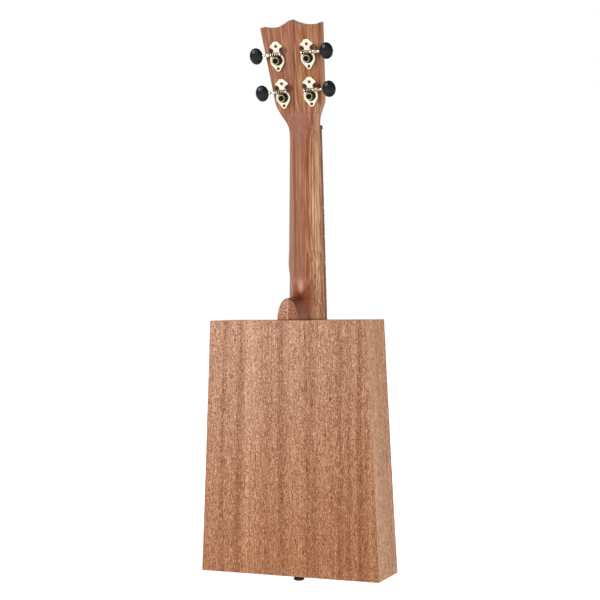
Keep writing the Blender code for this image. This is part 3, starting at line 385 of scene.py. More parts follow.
# %% Side and inner wood
SIDE_LAYERS = ((1.0, 3.2, 1.9), (2, 12, 0.8), (6, 200, 0.35))
SIDE_RIBBONS = ((53, 5, 0.08), (40, 5, 0.03), (30, 4, -0.05), (12, 6, -0.08))
INNER_LAYERS = ((1.4, 14, 0.8), (5, 60, 0.5))
side_wood = grained("side_wood", shade(128, 74, 40), shade(187, 136, 100), shade(236, 190, 154), SIDE_LAYERS,
                    across=(0, 1, 0), ribbons=SIDE_RIBBONS, Roughness=0.55, Specular_IOR_Level=0.25)
side_wood.relief(side_wood.pores, 0.1 * MM, 0.4)
dress(side_wood, "side_wall_left", "side_wall_right")
inner_wood = grained("inner_wood", shade(150, 112, 70), shade(206, 174, 128), shade(238, 214, 176),
                     INNER_LAYERS, Roughness=0.7)
inner_wood.relief(inner_wood.pores, 0.08 * MM, 0.3)
dress(inner_wood, *[name for name in nodes if "block" in name or "lining" in name or "brace" in name],
      "bridge_plate", "neck_dowel")

# %% [markdown]
# ## Where the tuners are
# The head leans back from the neck, so what is fixed to it is placed by two directions: out of the head's
# back, and up along it. The places of the posts and keys come from the model's joints. A soft oval mask at
# such a place serves for painted shade, round the tuners and in the small pin holes.

# %% Where the tuners are
HEAD_TILT = math.radians(15.9)
OUT_OF_HEAD = Vector((0, math.cos(HEAD_TILT), -math.sin(HEAD_TILT)))
UP_HEAD = Vector((0, math.sin(HEAD_TILT), math.cos(HEAD_TILT)))
STRINGS = ("g", "c", "e", "a")
POSTS = {string: Vector(joints[string + "_post_turn"]["pos_m"]) for string in STRINGS}
KEYS = {string: Vector(joints[string + "_key_turn"]["pos_m"]) for string in STRINGS}


def spot(finish, centre, wide, tall, sideways=(1, 0, 0), upwards=UP_HEAD, soft=0.28):
    """A soft oval of ones round a centre, with its half sizes in millimetres."""
    across = finish.math("DIVIDE", finish.along(tuple(sideways), tuple(centre)), wide * MM)
    along = finish.math("DIVIDE", finish.along(tuple(upwards), tuple(centre)), tall * MM)
    away = finish.math("SQRT", finish.math("MULTIPLY_ADD", across, across, finish.times(along, along)))
    return finish.step(away, 1 + soft, 1 - soft)


print("posts at", {string: [round(value / MM, 1) for value in post] for string, post in POSTS.items()})

# %% [markdown]
# ## The neck's wood
# The neck and head are a redder, denser wood under satin lacquer, cut so that its layers run at a slant,
# with an orange heart streak. So the ribbons follow a slanted direction and not X. Masks on place choose
# between tones: one side below the head is tinted mauve as a painted reflection in the lacquer, the other
# flank is painted lighter and paler as light from the side lamp, and a pale strip along one edge and the
# sides of the head are painted light as well.

# %% Neck wood
SLANT = (-0.9206, -0.3904, 0)
NECK_LAYERS = ((0.85, 34, 1.6), (0.9, 6, 0.35), (2.4, 60, 0.6), (9, 160, 0.2))
NECK_RIBBONS = ((-35, 1.5, -0.1), (-30, 4, 0.06), (-24, 1.2, -0.12), (-12.2, 0.9, -0.36), (-10.6, 0.6, 0.1),
                (-8.6, 0.5, -0.12), (-6, 3, 0.05), (-3.4, 0.5, -0.1), (0.4, 0.8, -0.12), (3.9, 0.7, 0.16),
                (8.3, 0.7, -0.16), (10.5, 4.8, 0.2), (13, 0.6, 0.1), (15.5, 0.9, -0.08), (24, 5, 0.03))
SIDE_LIGHT_TINT = (1.2, 1.33, 1.44, 1)
neck_wood = grained("neck_wood", shade(92, 42, 18), shade(160, 102, 67), shade(218, 168, 132), NECK_LAYERS,
                    across=SLANT, ribbons=NECK_RIBBONS, wander=1.6, lean=math.tan(HEAD_TILT),
                    Roughness=0.42, Specular_IOR_Level=0.2)
across = neck_wood.across
upward = neck_wood.axis("Z")
outward = neck_wood.axis("Y")
# One side below the head is tinted mauve: a painted reflection of the lamps in the lacquer.
lamp_reflection_side = neck_wood.step(across, 3 * MM, -5 * MM)
below_head = neck_wood.step(upward, 22 * MM, 15 * MM)
colour = neck_wood.tint(neck_wood.grain, shade(152, 98, 78), 0.5, lamp_reflection_side, below_head)
heart_place = neck_wood.step(upward, -16 * MM, 10 * MM, 1.8 * MM, 6.2 * MM)
from_heart = neck_wood.math("SUBTRACT", across, heart_place)
heart = neck_wood.between(from_heart, -1.6 * MM, 1.6 * MM, 1.0 * MM)
colour = neck_wood.tint(colour, shade(126, 66, 30), 0.7, heart,
                        neck_wood.between(upward, -46 * MM, 24 * MM, 12 * MM))
on_head = neck_wood.step(upward, 20 * MM, 34 * MM)
warmth = neck_wood.step(upward, 80 * MM, 105 * MM, 0.5, 0.63)
colour = neck_wood.tint(colour, shade(146, 82, 42), warmth, on_head, neck_wood.step(across, -8 * MM, 10 * MM))
colour = neck_wood.tint(colour, shade(150, 98, 78), 0.4, on_head, neck_wood.step(across, -2 * MM, -16 * MM))
# The flank on the other side is painted lighter and paler, as painted light from the side lamp.
side_lit_strip = neck_wood.step(across, 4 * MM, 7 * MM)
side_lit_flank = neck_wood.times(side_lit_strip, neck_wood.step(upward, 10 * MM, -60 * MM))
colour = neck_wood.mix(side_lit_flank, colour, SIDE_LIGHT_TINT, "MULTIPLY")
# A pale strip along the far edge is a painted highlight.
lit_edge_strip = neck_wood.step(across, -13.6 * MM, -15.4 * MM)
colour = neck_wood.tint(colour, shade(162, 130, 110), 0.6, lit_edge_strip, neck_wood.step(upward, 2 * MM, -16 * MM))
# Faces that look sideways are painted lighter on the head, as painted light.
lit_head_sides = neck_wood.step(neck_wood.math("ABSOLUTE", neck_wood.facing("X")), 0.6, 0.9)
colour = neck_wood.tint(colour, shade(188, 132, 98), 0.72, lit_head_sides, neck_wood.step(upward, 12 * MM, 24 * MM))

# %% [markdown]
# ## Painted shade and shine
# Shade is painted into the wood's colour in the hollow under the heel's cap, and beside and below each tuner
# plate, where the ears and worms shade the head. Round the heel's painted shade lie an orange tone, a pink
# spot and a pale painted highlight, and a mauve painted reflection lies on the neck below the head. Each mark
# is a soft oval, placed across the slant and up the neck on the neck and heel, and beside and above each post
# on the head.

# %% Painted shade and shine in the heel, painted shade round the tuners
# Painted shade in the heel's hollow with a softer band round it, an orange tone above it, a pale painted
# highlight, a pink spot, and a mauve painted reflection below the head.
HEEL_SHADE_AND_SHINE = ((-5, 4, 11, 17, 0.5, shade(156, 102, 88)), (-3, -184, 12, 15, 0.75, shade(150, 80, 36)),
               (-9, -192, 8, 9, 0.7, shade(116, 62, 46)), (-10.5, -183, 6.5, 6.5, 0.95, shade(96, 24, 6)),
               (-12.5, -173, 2.6, 9, 0.6, shade(158, 84, 36)), (-7, -171.5, 2.6, 6, 0.6, shade(214, 176, 162)),
               (-12, -164, 2.2, 4, 0.5, shade(186, 98, 84)))
# Painted shade round each tuner: a near-black gap beside the plate's waist, a brown painted shadow and a dark
# patch on its other side, and a painted shadow below the plate.
TUNER_SHADE = ((5.6, 10.6, 3.6, 3.0, 0.28, 0.92, shade(34, 28, 18)),
                (-9.2, 9.4, 3.2, 3.7, 0.6, 0.9, shade(96, 46, 6)),
                (-5.4, 10.6, 2.0, 2.6, 0.4, 0.85, shade(44, 28, 16)),
                (-8.0, -2, 2.4, 9, 0.6, 0.4, shade(104, 56, 30)))
behind = neck_wood.step(outward, 2 * MM, 12 * MM)
for place_across, place_up, wide, tall, strength, painted_tone in HEEL_SHADE_AND_SHINE:
    centre = Vector(SLANT) * place_across * MM + Vector((0, 0, place_up * MM))
    patch = spot(neck_wood, centre, wide, tall, SLANT, (0, 0, 1), soft=0.8)
    colour = neck_wood.tint(colour, painted_tone, strength, patch, behind)
for post in POSTS.values():
    at_back = neck_wood.step(neck_wood.along(tuple(OUT_OF_HEAD), tuple(post)), -2.5 * MM, -1 * MM)
    for beside, above, wide, tall, soft, strength, painted_tone in TUNER_SHADE:
        centre = post + Vector((beside * MM, 0, 0)) + UP_HEAD * above * MM
        patch = spot(neck_wood, centre, wide, tall, soft=soft)
        colour = neck_wood.tint(colour, painted_tone, strength, patch, at_back)
print(len(HEEL_SHADE_AND_SHINE), "shade_and_shine_marks in the heel and", len(TUNER_SHADE), "round each tuner")

# %% [markdown]
# ## The heel's cap
# The heel ends in a flat face cut across the grain, so its pores are dots and not dashes. One half of the face
# is painted darker than the other as painted shade, a pale line down its middle is a painted highlight, and a
# dark band of painted shade lies along its chamfered edge at the top.

# %% Heel cap
HEEL_CAP_Y = 53.4 * MM
RIM_START_Y = 51.9 * MM
end_dots = neck_wood.noise(neck_wood.stretched(760, 300, 760), detail=3, rough=0.7)
end_grain_lit = neck_wood.tones(end_dots, (0.38, shade(100, 48, 24)), (0.5, shade(174, 122, 94)),
                            (0.6, shade(238, 184, 144)))
end_grain_shaded = neck_wood.tones(end_dots, (0.38, shade(96, 48, 32)), (0.5, shade(148, 93, 68)),
                           (0.6, shade(200, 144, 112)))
sideways = neck_wood.axis("X")
# One half of the cap is painted darker, as painted shade.
end_grain = neck_wood.mix(neck_wood.step(sideways, 0.6 * MM, -0.6 * MM), end_grain_lit, end_grain_shaded)
# A pale line down the middle is a painted highlight.
ridge_highlight = neck_wood.step(neck_wood.math("ABSOLUTE", sideways), 0.9 * MM, 0.3 * MM)
end_grain = neck_wood.tint(end_grain, shade(226, 172, 146), 0.6, ridge_highlight)
# A dark band along the chamfered edge at the top is painted shade.
rim_shade = neck_wood.between(outward, RIM_START_Y, HEEL_CAP_Y - 0.2 * MM, 0.1 * MM)
colour = neck_wood.tint(colour, shade(70, 28, 14), 0.7, rim_shade, neck_wood.step(upward, -196 * MM, -188 * MM))
on_cap = neck_wood.step(outward, HEEL_CAP_Y - 0.3 * MM, HEEL_CAP_Y)
under_neck = neck_wood.step(upward, -170 * MM, -178 * MM)
neck_wood.colour(neck_wood.tint(colour, end_grain, on_cap, under_neck))
neck_wood.relief(neck_wood.pores, 0.05 * MM, 0.3)
dress(neck_wood, "neck")

# %% [markdown]
# ## Fretboard, bridge, nut and saddle
# The fretboard and bridge are dark oiled wood. The frets are one solid with the board, so a soft step in
# height gives them nickel: everything that stands out past the board's face is metal.

# %% Dark wood and frets
BOARD_FACE = -4.3 * MM
DARK_LAYERS = ((1.0, 12, 0.6), (2.6, 50, 0.8), (9, 200, 0.4))
dark_wood = grained("fretboard_wood", shade(34, 21, 15), shade(62, 41, 32), shade(100, 72, 58), DARK_LAYERS,
                    Roughness=0.45, Specular_IOR_Level=0.35)
dark_wood.relief(dark_wood.pores, 0.05 * MM, 0.3)
dress(dark_wood, "bridge")
fret_board = grained("fretted_wood", shade(38, 24, 18), shade(74, 50, 40), shade(116, 86, 70), DARK_LAYERS,
                     Roughness=0.45, Specular_IOR_Level=0.35)
is_fret = fret_board.step(fret_board.axis("Y"), BOARD_FACE - 0.02 * MM, BOARD_FACE - 0.06 * MM)
scuffs = fret_board.noise(fret_board.stretched(900, 900, 2500), detail=3)
board_edge = fret_board.step(fret_board.math("ABSOLUTE", fret_board.facing("X")), 0.7, 0.9)
board_tone = fret_board.tint(fret_board.grain, shade(126, 90, 74), 0.8, board_edge)
fret_board.colour(fret_board.mix(is_fret, board_tone, shade(196, 192, 182)))
fret_board.join(is_fret, fret_board.surface.inputs["Metallic"])
fret_board.gloss(fret_board.math("MULTIPLY_ADD", is_fret, -0.22, fret_board.step(scuffs, 0.3, 0.7, 0.4, 0.52)))
fret_board.relief(fret_board.pores, 0.04 * MM, 0.3)
dress(fret_board, "fretboard")

# %% [markdown]
# ## Moulded and polished things
# The nut is black plastic and the saddle is bone, both filed to shape and rubbed smooth. Such stuff has no
# grain, only a slow change of tone and a very fine skin, so one helper makes it for these, and later for
# the buttons, the end pin, the strings and the dots.

# %% Nut and saddle
def moulded(name, dark, light, rough, grain=600, depth=0.02, **settings):
    """Plastic, bone or lacquer: a slow change of tone, and a fine skin."""
    skin = Finish(name, **settings)
    cloud = skin.noise(skin.stretched(90, 90, 90), detail=3)
    speck = skin.noise(skin.stretched(grain, grain, grain), detail=2)
    skin.colour(skin.tones(skin.sum(0.5, (cloud, 0.9), (speck, 0.5)), (0.2, dark), (0.8, light)))
    skin.gloss(skin.step(speck, 0.3, 0.7, rough - 0.05, rough + 0.07))
    skin.relief(speck, depth * MM, 0.35)
    return skin


nut_black = moulded("nut_black", shade(14, 13, 14), shade(30, 28, 28), 0.4, Specular_IOR_Level=0.3)
dress(nut_black, "nut")
bone = moulded("saddle_bone", shade(222, 212, 186), shade(244, 238, 220), 0.35)
dress(bone, "saddle")

# %% [markdown]
# ## Metal
# Polished metal is nearly all reflection, so its own colour is only a cloudy tint, and what makes it look
# used are very fine scratches in its gloss and its relief.

# %% Metal helper
def metal(name, dull, bright, rough, scratch=1400):
    """Polished metal with a cloudy tone and fine scratches."""
    finish = Finish(name, Metallic=1.0)
    cloud = finish.noise(finish.stretched(260, 260, 260), detail=3)
    scratches = finish.noise(finish.stretched(scratch, scratch * 0.2, scratch * 0.3), detail=2)
    finish.tone = finish.tones(finish.sum(0.5, (cloud, 1.2), (scratches, 0.4)), (0.1, dull), (0.7, bright))
    finish.colour(finish.tone)
    finish.gloss(finish.step(scratches, 0.3, 0.75, rough, rough + 0.12))
    finish.relief(scratches, 0.01 * MM, 0.25)
    return finish


nickel = metal("nickel", shade(186, 177, 160), shade(236, 228, 214), 0.17)
dress(nickel, *[string + part for string in STRINGS for part in ("_string_post", "_post_bushing")])
screw_dark = metal("screw_dark", shade(14, 13, 12), shade(34, 32, 30), 0.4)
dress(screw_dark, *[string + "_wheel_screw" for string in STRINGS])

# %% [markdown]
# ## Tuner plates
# Each plate is stamped from nickelled steel, with two ears bent up to carry the worm. Bright nickel is
# nearly white where it faces the studio. The plate is painted dark round each wheel and between the ears,
# as painted shade, the ears a little greyer, also as painted shade, and a smear of noise breaks the dark edge.

# %% Tuner plates
PLATE_TOP = 1.3 * MM
EAR_INSIDE = 4.5 * MM
WHEEL_SHADE_EDGE = (5.9 * MM, 5.3 * MM)
for string, post in POSTS.items():
    plate = metal(string + "_plate_nickel", shade(190, 178, 158), shade(238, 226, 208), 0.2)
    smear = plate.noise(plate.stretched(420, 420, 420), detail=2)
    # The dark round each wheel is painted shade.
    wheel_shade = plate.step(plate.sum(radius_from(plate, post, upwards=UP_HEAD), (smear, 0.9 * MM)), *WHEEL_SHADE_EDGE)
    sideways = plate.math("ABSOLUTE", plate.along((1, 0, 0), tuple(post)))
    ears = plate.step(plate.along(tuple(OUT_OF_HEAD), tuple(post)), PLATE_TOP, PLATE_TOP + 0.5 * MM)
    # The inner faces between the ears are painted dark as shade.
    ear_gap_shade = plate.times(ears, plate.step(sideways, EAR_INSIDE + 0.25 * MM, EAR_INSIDE + 0.1 * MM))
    # The ears are painted greyer, as painted shade.
    tone = plate.tint(plate.tone, shade(150, 142, 126), 0.35, ears)
    plate.colour(plate.mix(plate.math("MAXIMUM", wheel_shade, ear_gap_shade), tone, shade(40, 35, 22)))
    dress(plate, string + "_tuner_plate")

# %% [markdown]
# ## Worm wheels
# The wheels are brass, cut with slanted teeth on a hobbing machine. They are drawn dark and greenish, and a
# light ring on the face of the wheel's hub is a painted highlight.

# %% Worm wheels
HUB_FACE = 6.4 * MM
for string, post in POSTS.items():
    wheel = metal(string + "_wheel_brass", shade(34, 29, 12), shade(104, 86, 38), 0.34)
    raised = wheel.step(wheel.along(tuple(OUT_OF_HEAD), tuple(post)), HUB_FACE, HUB_FACE + 0.2 * MM)
    away = radius_from(wheel, post, upwards=UP_HEAD)
    past_inner = wheel.step(away, 2.9 * MM, 3.2 * MM)
    before_outer = wheel.step(away, 3.9 * MM, 3.6 * MM)
    # The light ring on the hub's face is a painted highlight.
    wheel.colour(wheel.tint(wheel.tone, shade(206, 196, 156), raised, past_inner, before_outer))
    dress(wheel, string + "_worm_wheel")

# %% [markdown]
# ## Worm shafts
# A worm is a screw thread turned on the key's shaft. Its root is painted dark, as painted shade in the
# groove, and its crest keeps a metal tone, so the radius from the key's axis sets the tone. Outside the ear
# the shaft has a bead, where the hole of the pin that holds the button on is a dark spot of painted shade.

# %% Worm shafts
WORM_ROOT = 1.1 * MM
WORM_CREST = 2.1 * MM
BEAD_MIDDLE = 8.6 * MM
for string, key in KEYS.items():
    first_side = string in "gc"
    shaft = metal(string + "_shaft_nickel", shade(140, 130, 112), shade(206, 196, 178), 0.3, scratch=600)
    crest = shaft.step(radius_from(shaft, key, OUT_OF_HEAD, UP_HEAD), WORM_ROOT, WORM_CREST)
    # The dark root of the worm is painted shade.
    thread = shaft.mix(crest, shade(36, 32, 20), shade(176, 168, 144))
    from_middle = shaft.math("ABSOLUTE", shaft.along((1, 0, 0), tuple(POSTS[string])))
    tone = shaft.mix(shaft.step(from_middle, 4.7 * MM, 4.4 * MM), shaft.tone, thread)
    bead = key + Vector((-BEAD_MIDDLE if first_side else BEAD_MIDDLE, 0, 0))
    # The pin's hole is a dark spot of painted shade.
    pin_hole_shade = spot(shaft, bead, 1.5, 0.7, upwards=UP_HEAD if first_side else OUT_OF_HEAD)
    shaft.colour(shaft.mix(pin_hole_shade, tone, shade(30, 26, 22)))
    dress(shaft, string + "_worm_shaft")

# %% [markdown]
# ## Buttons, end pin and strings
# The buttons and the end pin are black plastic from a mould, with a soft gloss. The strings are clear
# nylon, which looks off-white against the fretboard.

# %% Buttons, pin and strings
button_black = moulded("button_black", shade(1, 2, 4), shade(6, 9, 17), 0.2, grain=500, depth=0.05,
                       Specular_IOR_Level=0.24)
dress(button_black, *[string + "_tuner_button" for string in STRINGS])
pin_black = moulded("pin_black", shade(16, 16, 17), shade(30, 30, 32), 0.25)
dress(pin_black, "end_pin")
nylon = moulded("string_nylon", shade(206, 204, 196), shade(236, 235, 230), 0.25, grain=900)
dress(nylon, *[string + part for string in STRINGS for part in ("_string", "_string_winding")])

# %% [markdown]
# ## Turned pieces
# Screws, dots and caps are all turned on a lathe in real life. One helper makes a mesh from radius and
# height points, turns it round an axis that points any way, and puts it on its body.

# %% Lathe helper
def turned(name, profile, place, facing, finish, body, sides=24):
    """A piece turned round `facing`, whose profile's heights run from `place` outwards."""
    build = bmesh.new()
    rings = []
    for radius, height in profile:
        angles = [2 * math.pi * i / sides for i in range(sides)]
        rings.append([build.verts.new((radius * math.cos(a), radius * math.sin(a), height)) for a in angles])
    build.faces.new(reversed(rings[0]))
    build.faces.new(rings[-1])
    for low, high in zip(rings, rings[1:]):
        for i in range(sides):
            j = (i + 1) % sides
            build.faces.new((low[i], low[j], high[j], high[i]))
    mesh = bpy.data.meshes.new(name)
    build.to_mesh(mesh)
    build.free()
    mesh.shade_smooth()
    mesh.set_sharp_from_angle(angle=math.radians(35))
    mesh.materials.append(finish.material)
    piece = bpy.data.objects.new(name, mesh)
    bpy.context.scene.collection.objects.link(piece)
    spin = Vector((0, 0, 1)).rotation_difference(Vector(facing))
    piece.matrix_world = Matrix.Translation(place) @ spin.to_matrix().to_4x4()
    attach(piece, body)
    return piece


# %% [markdown]
# ## Plate screws
# Two small screws hold each tuner plate to the head, one in the pointed wing and one in the tail. They are
# darker than the plate. The heads are domed, with a cross cut into them by a Boolean.

# %% Plate screws
SCREW_PLACES = {"wing": 15.0 * MM, "tail": -8.8 * MM}
CROSS_SIZE = (2.2 * MM, 0.6 * MM, 0.45 * MM)
CROSS_TURN = math.radians(20)
plate_screw = metal("plate_screw_metal", shade(40, 40, 34), shade(98, 96, 86), 0.3)


def cross_cut(piece, place, facing, reach, width, depth):
    """Cuts a cross into a screw's head."""
    build = bmesh.new()
    for size in ((reach, width), (width, reach)):
        bmesh.ops.create_cube(build, size=1, matrix=Matrix.Diagonal((*size, depth * 2, 1)))
    mesh = bpy.data.meshes.new("cross")
    build.to_mesh(mesh)
    build.free()
    cutter = bpy.data.objects.new("cross", mesh)
    bpy.context.scene.collection.objects.link(cutter)
    spin = Vector((0, 0, 1)).rotation_difference(Vector(facing))
    turn = Matrix.Rotation(CROSS_TURN, 4, "Z")
    cutter.matrix_world = Matrix.Translation(place) @ spin.to_matrix().to_4x4() @ turn
    cut = piece.modifiers.new("cross", "BOOLEAN")
    cut.operation = "DIFFERENCE"
    cut.solver = "EXACT"
    cut.use_self = True
    cut.object = cutter
    graph = bpy.context.evaluated_depsgraph_get()
    cut_mesh = bpy.data.meshes.new_from_object(piece.evaluated_get(graph))
    piece.modifiers.clear()
    piece.data = cut_mesh
    bpy.data.objects.remove(cutter)


screw_profile = [(0.9 * MM, -0.4 * MM), (1.05 * MM, -0.1 * MM), (1.6 * MM, 0.05 * MM), (1.7 * MM, 0.25 * MM),
                 (1.5 * MM, 0.5 * MM), (0.9 * MM, 0.72 * MM), (0.3 * MM, 0.78 * MM)]
for string in STRINGS:
    for where, along in SCREW_PLACES.items():
        place = POSTS[string] + UP_HEAD * along + OUT_OF_HEAD * PLATE_TOP
        screw = turned(f"{string}_plate_screw_{where}", screw_profile, place, OUT_OF_HEAD, plate_screw,
                       "instrument", 20)
        cross_cut(screw, place + OUT_OF_HEAD * 0.8 * MM, OUT_OF_HEAD, *CROSS_SIZE)
print(2 * len(STRINGS), "plate screws")

# %% [markdown]
# ## Sanded edges
# A maker breaks every outside edge of a box with sandpaper, so it catches a thin line of light. Rounding
# only the chosen edges needs a copy of the panel: flat neighbours are merged first, then the outer edges
# get a bevel.

# %% Sanded copies
def copy_of(name):
    """An unlinked bmesh of a CAD node, ready to refine, with its doubled points merged."""
    build = bmesh.new()
    build.from_mesh(nodes[name].data)
    bmesh.ops.remove_doubles(build, verts=build.verts, dist=1e-6)
    return build


def stand_in(name, build, finish, sharp):
    """Puts a refined copy in a CAD node's place."""
    mesh = bpy.data.meshes.new(name + "_sanded")
    build.normal_update()
    build.to_mesh(mesh)
    build.free()
    mesh.shade_smooth()
    mesh.set_sharp_from_angle(angle=math.radians(sharp))
    mesh.materials.append(finish.material)
    piece = bpy.data.objects.new(name + "_sanded", mesh)
    bpy.context.scene.collection.objects.link(piece)
    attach(piece, "instrument")
    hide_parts(name)
    print(piece.name, len(mesh.polygons), "faces")


def broken_edges(name, outer_y, radius):
    """A panel whose edges on its outer face are rounded."""
    build = copy_of(name)
    bmesh.ops.dissolve_limit(build, angle_limit=math.radians(0.3), verts=build.verts, edges=build.edges)
    edges = [edge for edge in build.edges if all(abs(v.co.y - outer_y) < 0.01 * MM for v in edge.verts)]
    bmesh.ops.bevel(build, geom=edges, offset=radius, segments=3, profile=0.5, affect="EDGES")
    stand_in(name, build, box_wood, 50)


broken_edges("back_panel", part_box("back_panel")[1][1], 0.8 * MM)
broken_edges("soundboard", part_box("soundboard")[0][1], 0.6 * MM)

# %% [markdown]
# ## A carved heel
# The heel's sweep was carved and sanded by hand, so its copy is cut finer and smoothed, while the cap, the
# fretboard's seat and the neck above stay exactly where they are. The solid part's points lie in rows up
# the heel. Smooth curves run through them, first up the columns and then round each row. At the upper end
# the fine row's short edges lie on the plain neck's long ones. There is no gap, but that seam isn't sewn
# together, so the number of open edges is printed.

# %% Carved heel
FADE_END = -131.0 * MM
APEX_ROW = 6
SMOOTH_STEPS = 3


def through(points, steps=SMOOTH_STEPS):
    """A smooth curve through the given points, with so many steps between each two."""
    points = [points[0] * 2 - points[1], *points, points[-1] * 2 - points[-2]]
    curve = []
    for a, b, c, d in zip(points, points[1:], points[2:], points[3:]):
        for t in (step / steps for step in range(steps)):
            line = b * 2 + (c - a) * t
            curve.append((line + (a * 2 - b * 5 + c * 4 - d) * t ** 2 + (b * 3 - a - c * 3 + d) * t ** 3) / 2)
    return curve + [points[-2]]


def straight(points, steps=SMOOTH_STEPS):
    """Straight lines through the given points, cut into as many steps as the smooth curve."""
    return [a.lerp(b, step / steps) for a, b in zip(points, points[1:]) for step in range(steps)] + [points[-1]]


neck = copy_of("neck")
low, high = (Vector(corner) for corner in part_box("neck_dowel"))
bore = ((low + high) / 2).xy
rows = {}
for vert in neck.verts:
    past_bore = vert.co.z > high.z + 0.5 * MM or (vert.co.xy - bore).length > (high.x - low.x) / 2 + 0.3 * MM
    if vert.co.z < FADE_END and past_bore:
        rows.setdefault(round(vert.co.z / MM * 100), []).append(vert)
rows = [sorted(rows[level], key=lambda v: (v.co.x < 0, v.co.y if v.co.x > 0 else -v.co.y))
        for level in sorted(rows)]
print("heel rows and the points in each", [len(row) for row in rows])
points = [[vert.co.copy() for vert in row] for row in rows]
skin = {vert for row in rows for vert in row}
foot = set(rows[0])
old = [face for face in neck.faces if set(face.verts) <= skin and not set(face.verts) <= foot]
bmesh.ops.delete(neck, geom=old, context="FACES_ONLY")
bmesh.ops.delete(neck, geom=[edge for edge in neck.edges if not edge.link_faces], context="EDGES")
for row in (rows[0], rows[-1]):
    seam = [edge for edge in neck.edges if set(edge.verts) <= set(row) and edge.is_boundary
            and edge.verts[0].co.x * edge.verts[1].co.x > 0]
    bmesh.ops.subdivide_edges(neck, edges=seam, cuts=SMOOTH_STEPS - 1)
columns = [through(column[:APEX_ROW + 1])[:-1] + through(column[APEX_ROW:]) for column in zip(*points)]
rings = []
for order, ring in enumerate(zip(*columns)):
    right = list(ring[:len(ring) // 2])
    if order in (0, len(columns[0]) - 1):
        right = straight(right)
    elif order < APEX_ROW * SMOOTH_STEPS:
        right = through(right[:-2])[:-1] + straight(right[-3:])
    else:
        right = through(right)
    left = [Vector((-point.x, point.y, point.z)) for point in reversed(right)]
    rings.append([neck.verts.new(point) for point in right + left])
for below, above in zip(rings, rings[1:]):
    for i in range(len(below)):
        after = (i + 1) % len(below)
        neck.faces.new((below[i], below[after], above[after], above[i]))
bmesh.ops.remove_doubles(neck, verts=neck.verts, dist=1e-6)
bmesh.ops.recalc_face_normals(neck, faces=neck.faces)
print("open edges in the neck's copy:", sum(edge.is_boundary for edge in neck.edges))
stand_in("neck", neck, neck_wood, 40)

# %% [markdown]
# ## Position dots
# Small white dots on the fretboard's edge mark frets 5, 7 and 9 for the player, and larger ones are set in
# its face. Each sits halfway between two frets, whose places follow from the scale length.

# %% Dots
SCALE = 374.6 * MM
NUT_HALF = 35.1 / 2 * MM
BODY_HALF = 43.2 / 2 * MM
BODY_AT = SCALE * (1 - 2 ** (-14 / 12))
SIDE_DOTS = (5, 7, 9)
FACE_DOTS = ((5, 0, ""), (7, 0, ""), (9, 0, ""), (12, -8, "_left"), (12, 8, "_right"))
dot_white = moulded("dot_white", shade(222, 220, 214), shade(246, 245, 240), 0.3)


def between_frets(number):
    """How far below the nut the middle of a fret's space lies."""
    return SCALE * (1 - 2 ** (-(number - 0.5) / 12))


def board_half(below):
    """Half the fretboard's width at some way below the nut."""
    return NUT_HALF + (BODY_HALF - NUT_HALF) * below / BODY_AT


edge_dot = [(1.0 * MM, -0.4 * MM), (1.0 * MM, 0.04 * MM), (0.8 * MM, 0.1 * MM)]
face_dot = [(2.9 * MM, -0.4 * MM), (2.9 * MM, 0.03 * MM), (2.7 * MM, 0.06 * MM)]
for number in SIDE_DOTS:
    below = between_frets(number)
    place = Vector((-board_half(below), BOARD_FACE / 2, -below))
    turned(f"side_dot_{number}", edge_dot, place, (-1, 0, 0), dot_white, "instrument")
for number, aside, side in FACE_DOTS:
    place = Vector((aside * MM, BOARD_FACE, -between_frets(number)))
    turned(f"face_dot_{number}{side}", face_dot, place, (0, -1, 0), dot_white, "instrument", 32)
print("dots at", [round(between_frets(number) / MM, 1) for number in (5, 7, 9, 12)], "mm")

# %% [markdown]
# ## String knots
# At a tie bridge each nylon string comes out behind the tie block, goes back over it, round its own front
# and under its own loop. A curve with a round bevel follows that route, close to the block.

# %% Knots
STRING_RADIUS = {"g": 0.31, "c": 0.43, "e": 0.40, "a": 0.33}
FIRST_STRING_X, STRING_SPACING = -21, 14
KNOT = ((0, -4.6, -21.3), (0.1, -6.6, -21.4), (0.3, -8.4, -20.2), (0.5, -8.7, -17), (0.8, -8.7, -12.5),
        (1.1, -8.5, -9.0), (1.1, -6.6, -8.0), (0.4, -4.0, -7.7), (-0.6, -4.2, -7.8), (-1.1, -6.6, -8.1),
        (-1.0, -8.6, -9.2), (-0.8, -8.8, -13), (-0.3, -9.2, -16), (0.7, -9.6, -17.4), (1.6, -9.0, -18.2),
        (2.2, -8.5, -18.6))


def cord_piece(name, points, radius, finish, body):
    """A round cord along a smooth curve through the points."""
    curve = bpy.data.curves.new(name, "CURVE")
    curve.dimensions = "3D"
    curve.bevel_depth = radius
    curve.bevel_resolution = 3
    curve.use_fill_caps = True
    spline = curve.splines.new("NURBS")
    spline.points.add(len(points) - 1)
    for slot_point, point in zip(spline.points, points):
        slot_point.co = (*point, 1)
    spline.order_u = 3
    spline.use_endpoint_u = True
    spline.resolution_u = 4
    curve.materials.append(finish.material)
    piece = bpy.data.objects.new(name, curve)
    bpy.context.scene.collection.objects.link(piece)
    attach(piece, body)


for order, string in enumerate(STRINGS):
    x = (FIRST_STRING_X + STRING_SPACING * order) * MM
    points = [(x + a * MM, b * MM, -SCALE + c * MM) for a, b, c in KNOT]
    cord_piece(string + "_string_knot", points, STRING_RADIUS[string] * MM, nylon, "instrument")
print(len(STRINGS), "knots")

# %% [markdown]
# ## The room
# The instrument hangs in a white room, which lights it a little from all sides. The kind of ray decides how
# bright the room is: plain white to the camera, and about half as bright in reflections, so that metal and
# lacquer keep their own tone.

